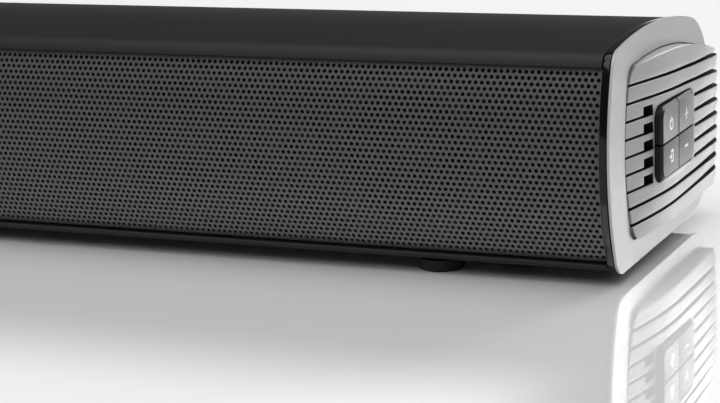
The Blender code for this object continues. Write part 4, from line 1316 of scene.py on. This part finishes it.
for n in range(1, 5):
    low, high = box_mm(f"rubber_foot_{n}")
    middle_foot = ((low.x + high.x) / 2, (low.y + high.y) / 2)
    reach = (high.x - low.x) / 2
    profile = [(0, 0.5), (reach - 2.6, 0.5), (reach - 2.0, 0), (reach - 0.9, 0)]
    profile += [(reach - 0.25, 0.3), (reach, 1.0), (reach, high.z), (0, high.z)]
    foot = turned(f"foot_{n}", profile, middle_foot, "Z", RUBBER)
    settle(foot, "rubber", f"rubber_foot_{n}")

for n in range(1, 7):
    low, high = box_mm(f"rear_screw_{n}")
    middle_screw = ((low.x + high.x) / 2, (low.z + high.z) / 2)
    reach, seat = (high.x - low.x) / 2, high.y - 1.6
    dome = [(reach * math.sin(t), seat + 0.5 + 1.1 * math.cos(t)) for t in (0, 0.4, 0.8, 1.2)]
    profile = [*dome, (reach, seat + 0.3), (reach, seat), (1.4, seat), (1.4, low.y), (0, low.y)]
    screw = turned(f"screw_{n}", profile, middle_screw, "Y", STEEL)
    for across, upright in ((1.5, 0.28), (0.28, 1.5)):
        x, z = middle_screw
        corners = [(x - across, z - upright), (x + across, z - upright)]
        corners += [(x + across, z + upright), (x - across, z + upright)]
        slot = [[(p, y, q) for p, q in corners] for y in (high.y - 0.9, high.y + 2)]
        cut(screw, *join_rings(slot))
    settle(screw, "steel", f"rear_screw_{n}")
print("turned 4 feet and 6 screws")

# %% [markdown]
# The phono sockets are tubes of plated steel round coloured plastic: red and white for each
# pair. The aux socket has a steel ring, the optical socket a small grey shutter, and the mains
# inlet two pins deep in its pocket.

# %% Finish the sockets
RED = coloured_plastic("red_insert", (0.42, 0.02, 0.02))
WHITE = coloured_plastic("white_insert", grey(214))
SHUTTER = coloured_plastic("grey_shutter", grey(92))
rear_face = box_mm("rear_panel_left")[1].y
block_low, block_high = box_mm("phono_socket_block")
SOCKET_Z = (block_low.z + block_high.z) / 2
PHONO_X = (block_low.x + block_high.x) / 2
PHONO_STEP, PHONO_RADIUS = 14.0, 4.2
for n in range(4):
    x = PHONO_X + (PHONO_STEP if n % 2 else -PHONO_STEP) / 2
    z = SOCKET_Z + (PHONO_STEP if n < 2 else -PHONO_STEP) / 2
    end = block_high.y
    tube = [(PHONO_RADIUS, rear_face - 0.4), (PHONO_RADIUS + 0.22, rear_face - 0.4)]
    tube += [(PHONO_RADIUS + 0.22, end - 0.2), (PHONO_RADIUS + 0.1, end), (3.7, end)]
    tube += [(3.7, end - 0.3), (PHONO_RADIUS, end - 0.3)]
    sleeve = turned(f"phono_sleeve_{n + 1}", tube, (x, z), "Y", STEEL)
    insert = [(1.9, end - 0.6), (2.1, end + 0.05), (3.5, end + 0.05), (3.6, end - 0.6)]
    colour = turned(f"phono_insert_{n + 1}", insert, (x, z), "Y", (RED, WHITE)[n % 2])
    contact = [(1.2, end - 3), (1.5, end - 3), (1.5, end - 0.1), (1.2, end - 0.25)]
    tube_inside = turned(f"phono_contact_{n + 1}", contact, (x, z), "Y", STEEL)
    settle(sleeve, "steel")
    settle(colour, "black_plastic")
    settle(tube_inside, "steel")

aux_low, aux_high = box_mm("aux_socket")
aux_at = ((aux_low.x + aux_high.x) / 2, (aux_low.z + aux_high.z) / 2)
collar = [(1.85, aux_high.y - 0.3), (2.0, aux_high.y + 0.15), (3.0, aux_high.y + 0.15)]
collar += [(3.2, aux_high.y - 0.3)]
settle(turned("aux_ring", collar, aux_at, "Y", STEEL), "steel")

optical_low, optical_high = box_mm("optical_socket")
flap_low = (optical_low.x + 2.3, optical_low.z + 2.3)
flap_high = (optical_high.x - 2.3, optical_high.z - 2.3)
flap_rings = []
for y, inset in ((-1.3, 0), (-0.75, 0), (-0.55, 0.25)):
    low = (flap_low[0] + inset, flap_low[1] + inset)
    high = (flap_high[0] - inset, flap_high[1] - inset)
    loop = rounded_rectangle(low, high, [1.0] * 4, 4)
    flap_rings.append([(x, optical_high.y + y, z) for x, z in loop])
settle(make_piece("optical_shutter", *join_rings(flap_rings), SHUTTER), "black_plastic")

inlet_low, inlet_high = box_mm("mains_inlet")
inlet_x, pocket_floor = (inlet_low.x + inlet_high.x) / 2, inlet_high.y - 11
for n, side in enumerate((-1, 1)):
    pin = [(0, pocket_floor - 1), (1.15, pocket_floor - 1), (1.15, inlet_high.y - 3)]
    pin += [(0.8, inlet_high.y - 2.2), (0, inlet_high.y - 2)]
    made = turned(f"inlet_pin_{n + 1}", pin, (inlet_x + side * 3.2, SOCKET_Z), "Y", STEEL, 20)
    settle(made, "steel")
print("sockets finished")

# %% [markdown]
# ## Stage
# The bar stands on a pale surface, polished near the bar, that mirrors it. Two lights do the
# modelling: one behind and to the right grazes the end, so the cap's swelling shows, and a weak
# one in front keeps the grille dark but readable. A large one overhead lights the floor. Gloss
# sees a bright horizon behind the bar and a dark room elsewhere, so that black stays black.

# %% Floor and light
FLOOR_HALF = 6.0  # metres
POLISH = 0.42  # how much of the floor's light is mirrored where it is polished
POLISH_FADES = (0.095, 0.07)  # metres in front of the bar: where, and over what width


def soft_light(name, place, aim, size, watts):
    lamp = bpy.data.lights.new(name, "AREA")
    lamp.shape, lamp.size, lamp.size_y, lamp.energy = "RECTANGLE", *size, watts
    holder = bpy.data.objects.new(name, lamp)
    holder.location = place
    holder.rotation_euler = (Vector(aim) - Vector(place)).to_track_quat("-Z", "Y").to_euler()
    bpy.context.scene.collection.objects.link(holder)
    return holder


def floor_finish():
    """Pale and dull, but polished in front of the bar and beside its right-hand end."""
    finish = Finish("polished_floor", grey(244), 0.5)
    glow = finish.noise(3, 1)
    finish.set("Base Color", finish.blend(glow, grey(242), grey(246)))
    spot = finish.node("ShaderNodeSeparateXYZ", None, [finish.place()])
    depth = Wire(finish, spot.socket.node.outputs[1])
    end, front = (MIDDLE_X + HALF) * MM, FRONT_Y * MM
    far = (front - depth).above(*POLISH_FADES)
    beside = spot.above(end + 0.01, 0.03)
    polish = (1 - far * (1 - beside)) * POLISH
    mirror = finish.node("ShaderNodeBsdfGlossy", None, {"Color": (1, 1, 1, 1), "Roughness": 0.0})
    shader = Wire(finish, finish.shader.outputs[0])
    mixed = finish.node("ShaderNodeMixShader", None, {0: polish, 1: shader, 2: mirror})
    finish.feed(finish.tree.nodes["Material Output"].inputs["Surface"], mixed)
    return finish.material


floor_mesh = bpy.data.meshes.new("floor")
corners = [(x * FLOOR_HALF, y * FLOOR_HALF, 0) for x, y in ((-1, -1), (1, -1), (1, 1), (-1, 1))]
floor_mesh.from_pydata(corners, [], [(0, 1, 2, 3)])
floor = dress("floor", floor_mesh, floor_finish())

soft_light("light behind right", (1.25, 2.3, 0.9), (0.41, 0, 0.03), (0.9, 0.9), 26)
soft_light("light overhead", (0.3, -0.5, 2.4), (0.2, -0.3, 0), (2.6, 2.6), 56)
soft_light("light in front", (-0.5, -2.1, 1.9), (0.1, 0, 0.03), (1.6, 1.0), 16)

world = bpy.data.worlds.new("studio")
bpy.context.scene.world = world
sky = Network(world)
rays = sky.node("ShaderNodeLightPath")
kinds = ("Is Camera Ray", "Is Transmission Ray", "Is Singular Ray", "Is Glossy Ray")
seen, clear, mirrored, glossy = (Wire(sky, rays.socket.node.outputs[k]) for k in kinds)
way = sky.node("ShaderNodeSeparateXYZ", None, [sky.node("ShaderNodeTexCoord")])
ahead, upward = (Wire(sky, way.socket.node.outputs[k]) for k in (1, 2))
horizon = ahead.above(0.6, 0.5) * (1 - upward.above(0.07, 0.08))
plain = (seen + clear + mirrored).math("MINIMUM", seen + clear + mirrored, 1)
strength = plain + (1 - plain) * (glossy * (horizon * 0.9 + 0.1) + (1 - glossy) * 0.22)
sky.feed(sky.tree.nodes["Background"].inputs["Strength"], strength)
sky.feed(sky.tree.nodes["Background"].inputs["Color"], (1, 1, 1, 1))

# %% [markdown]
# The camera stands low at the right-hand end with a long lens, so the bar runs out of the
# frame to the left. A slight roll follows the way such a picture is usually framed.

# %% Camera
camera = bpy.data.cameras.new("camera")
camera.lens, camera.sensor_width = 104.8, 36.0
viewpoint = bpy.data.objects.new("camera", camera)
viewpoint.location = (0.5843, -0.6460, 0.1696)
viewpoint.rotation_euler = Euler([math.radians(a) for a in (77.277, 2.029, 23.564)])
bpy.context.scene.collection.objects.link(viewpoint)
bpy.context.scene.camera = viewpoint
bpy.context.scene.view_settings.view_transform = "Standard"
print("lens:", camera.lens, "mm")
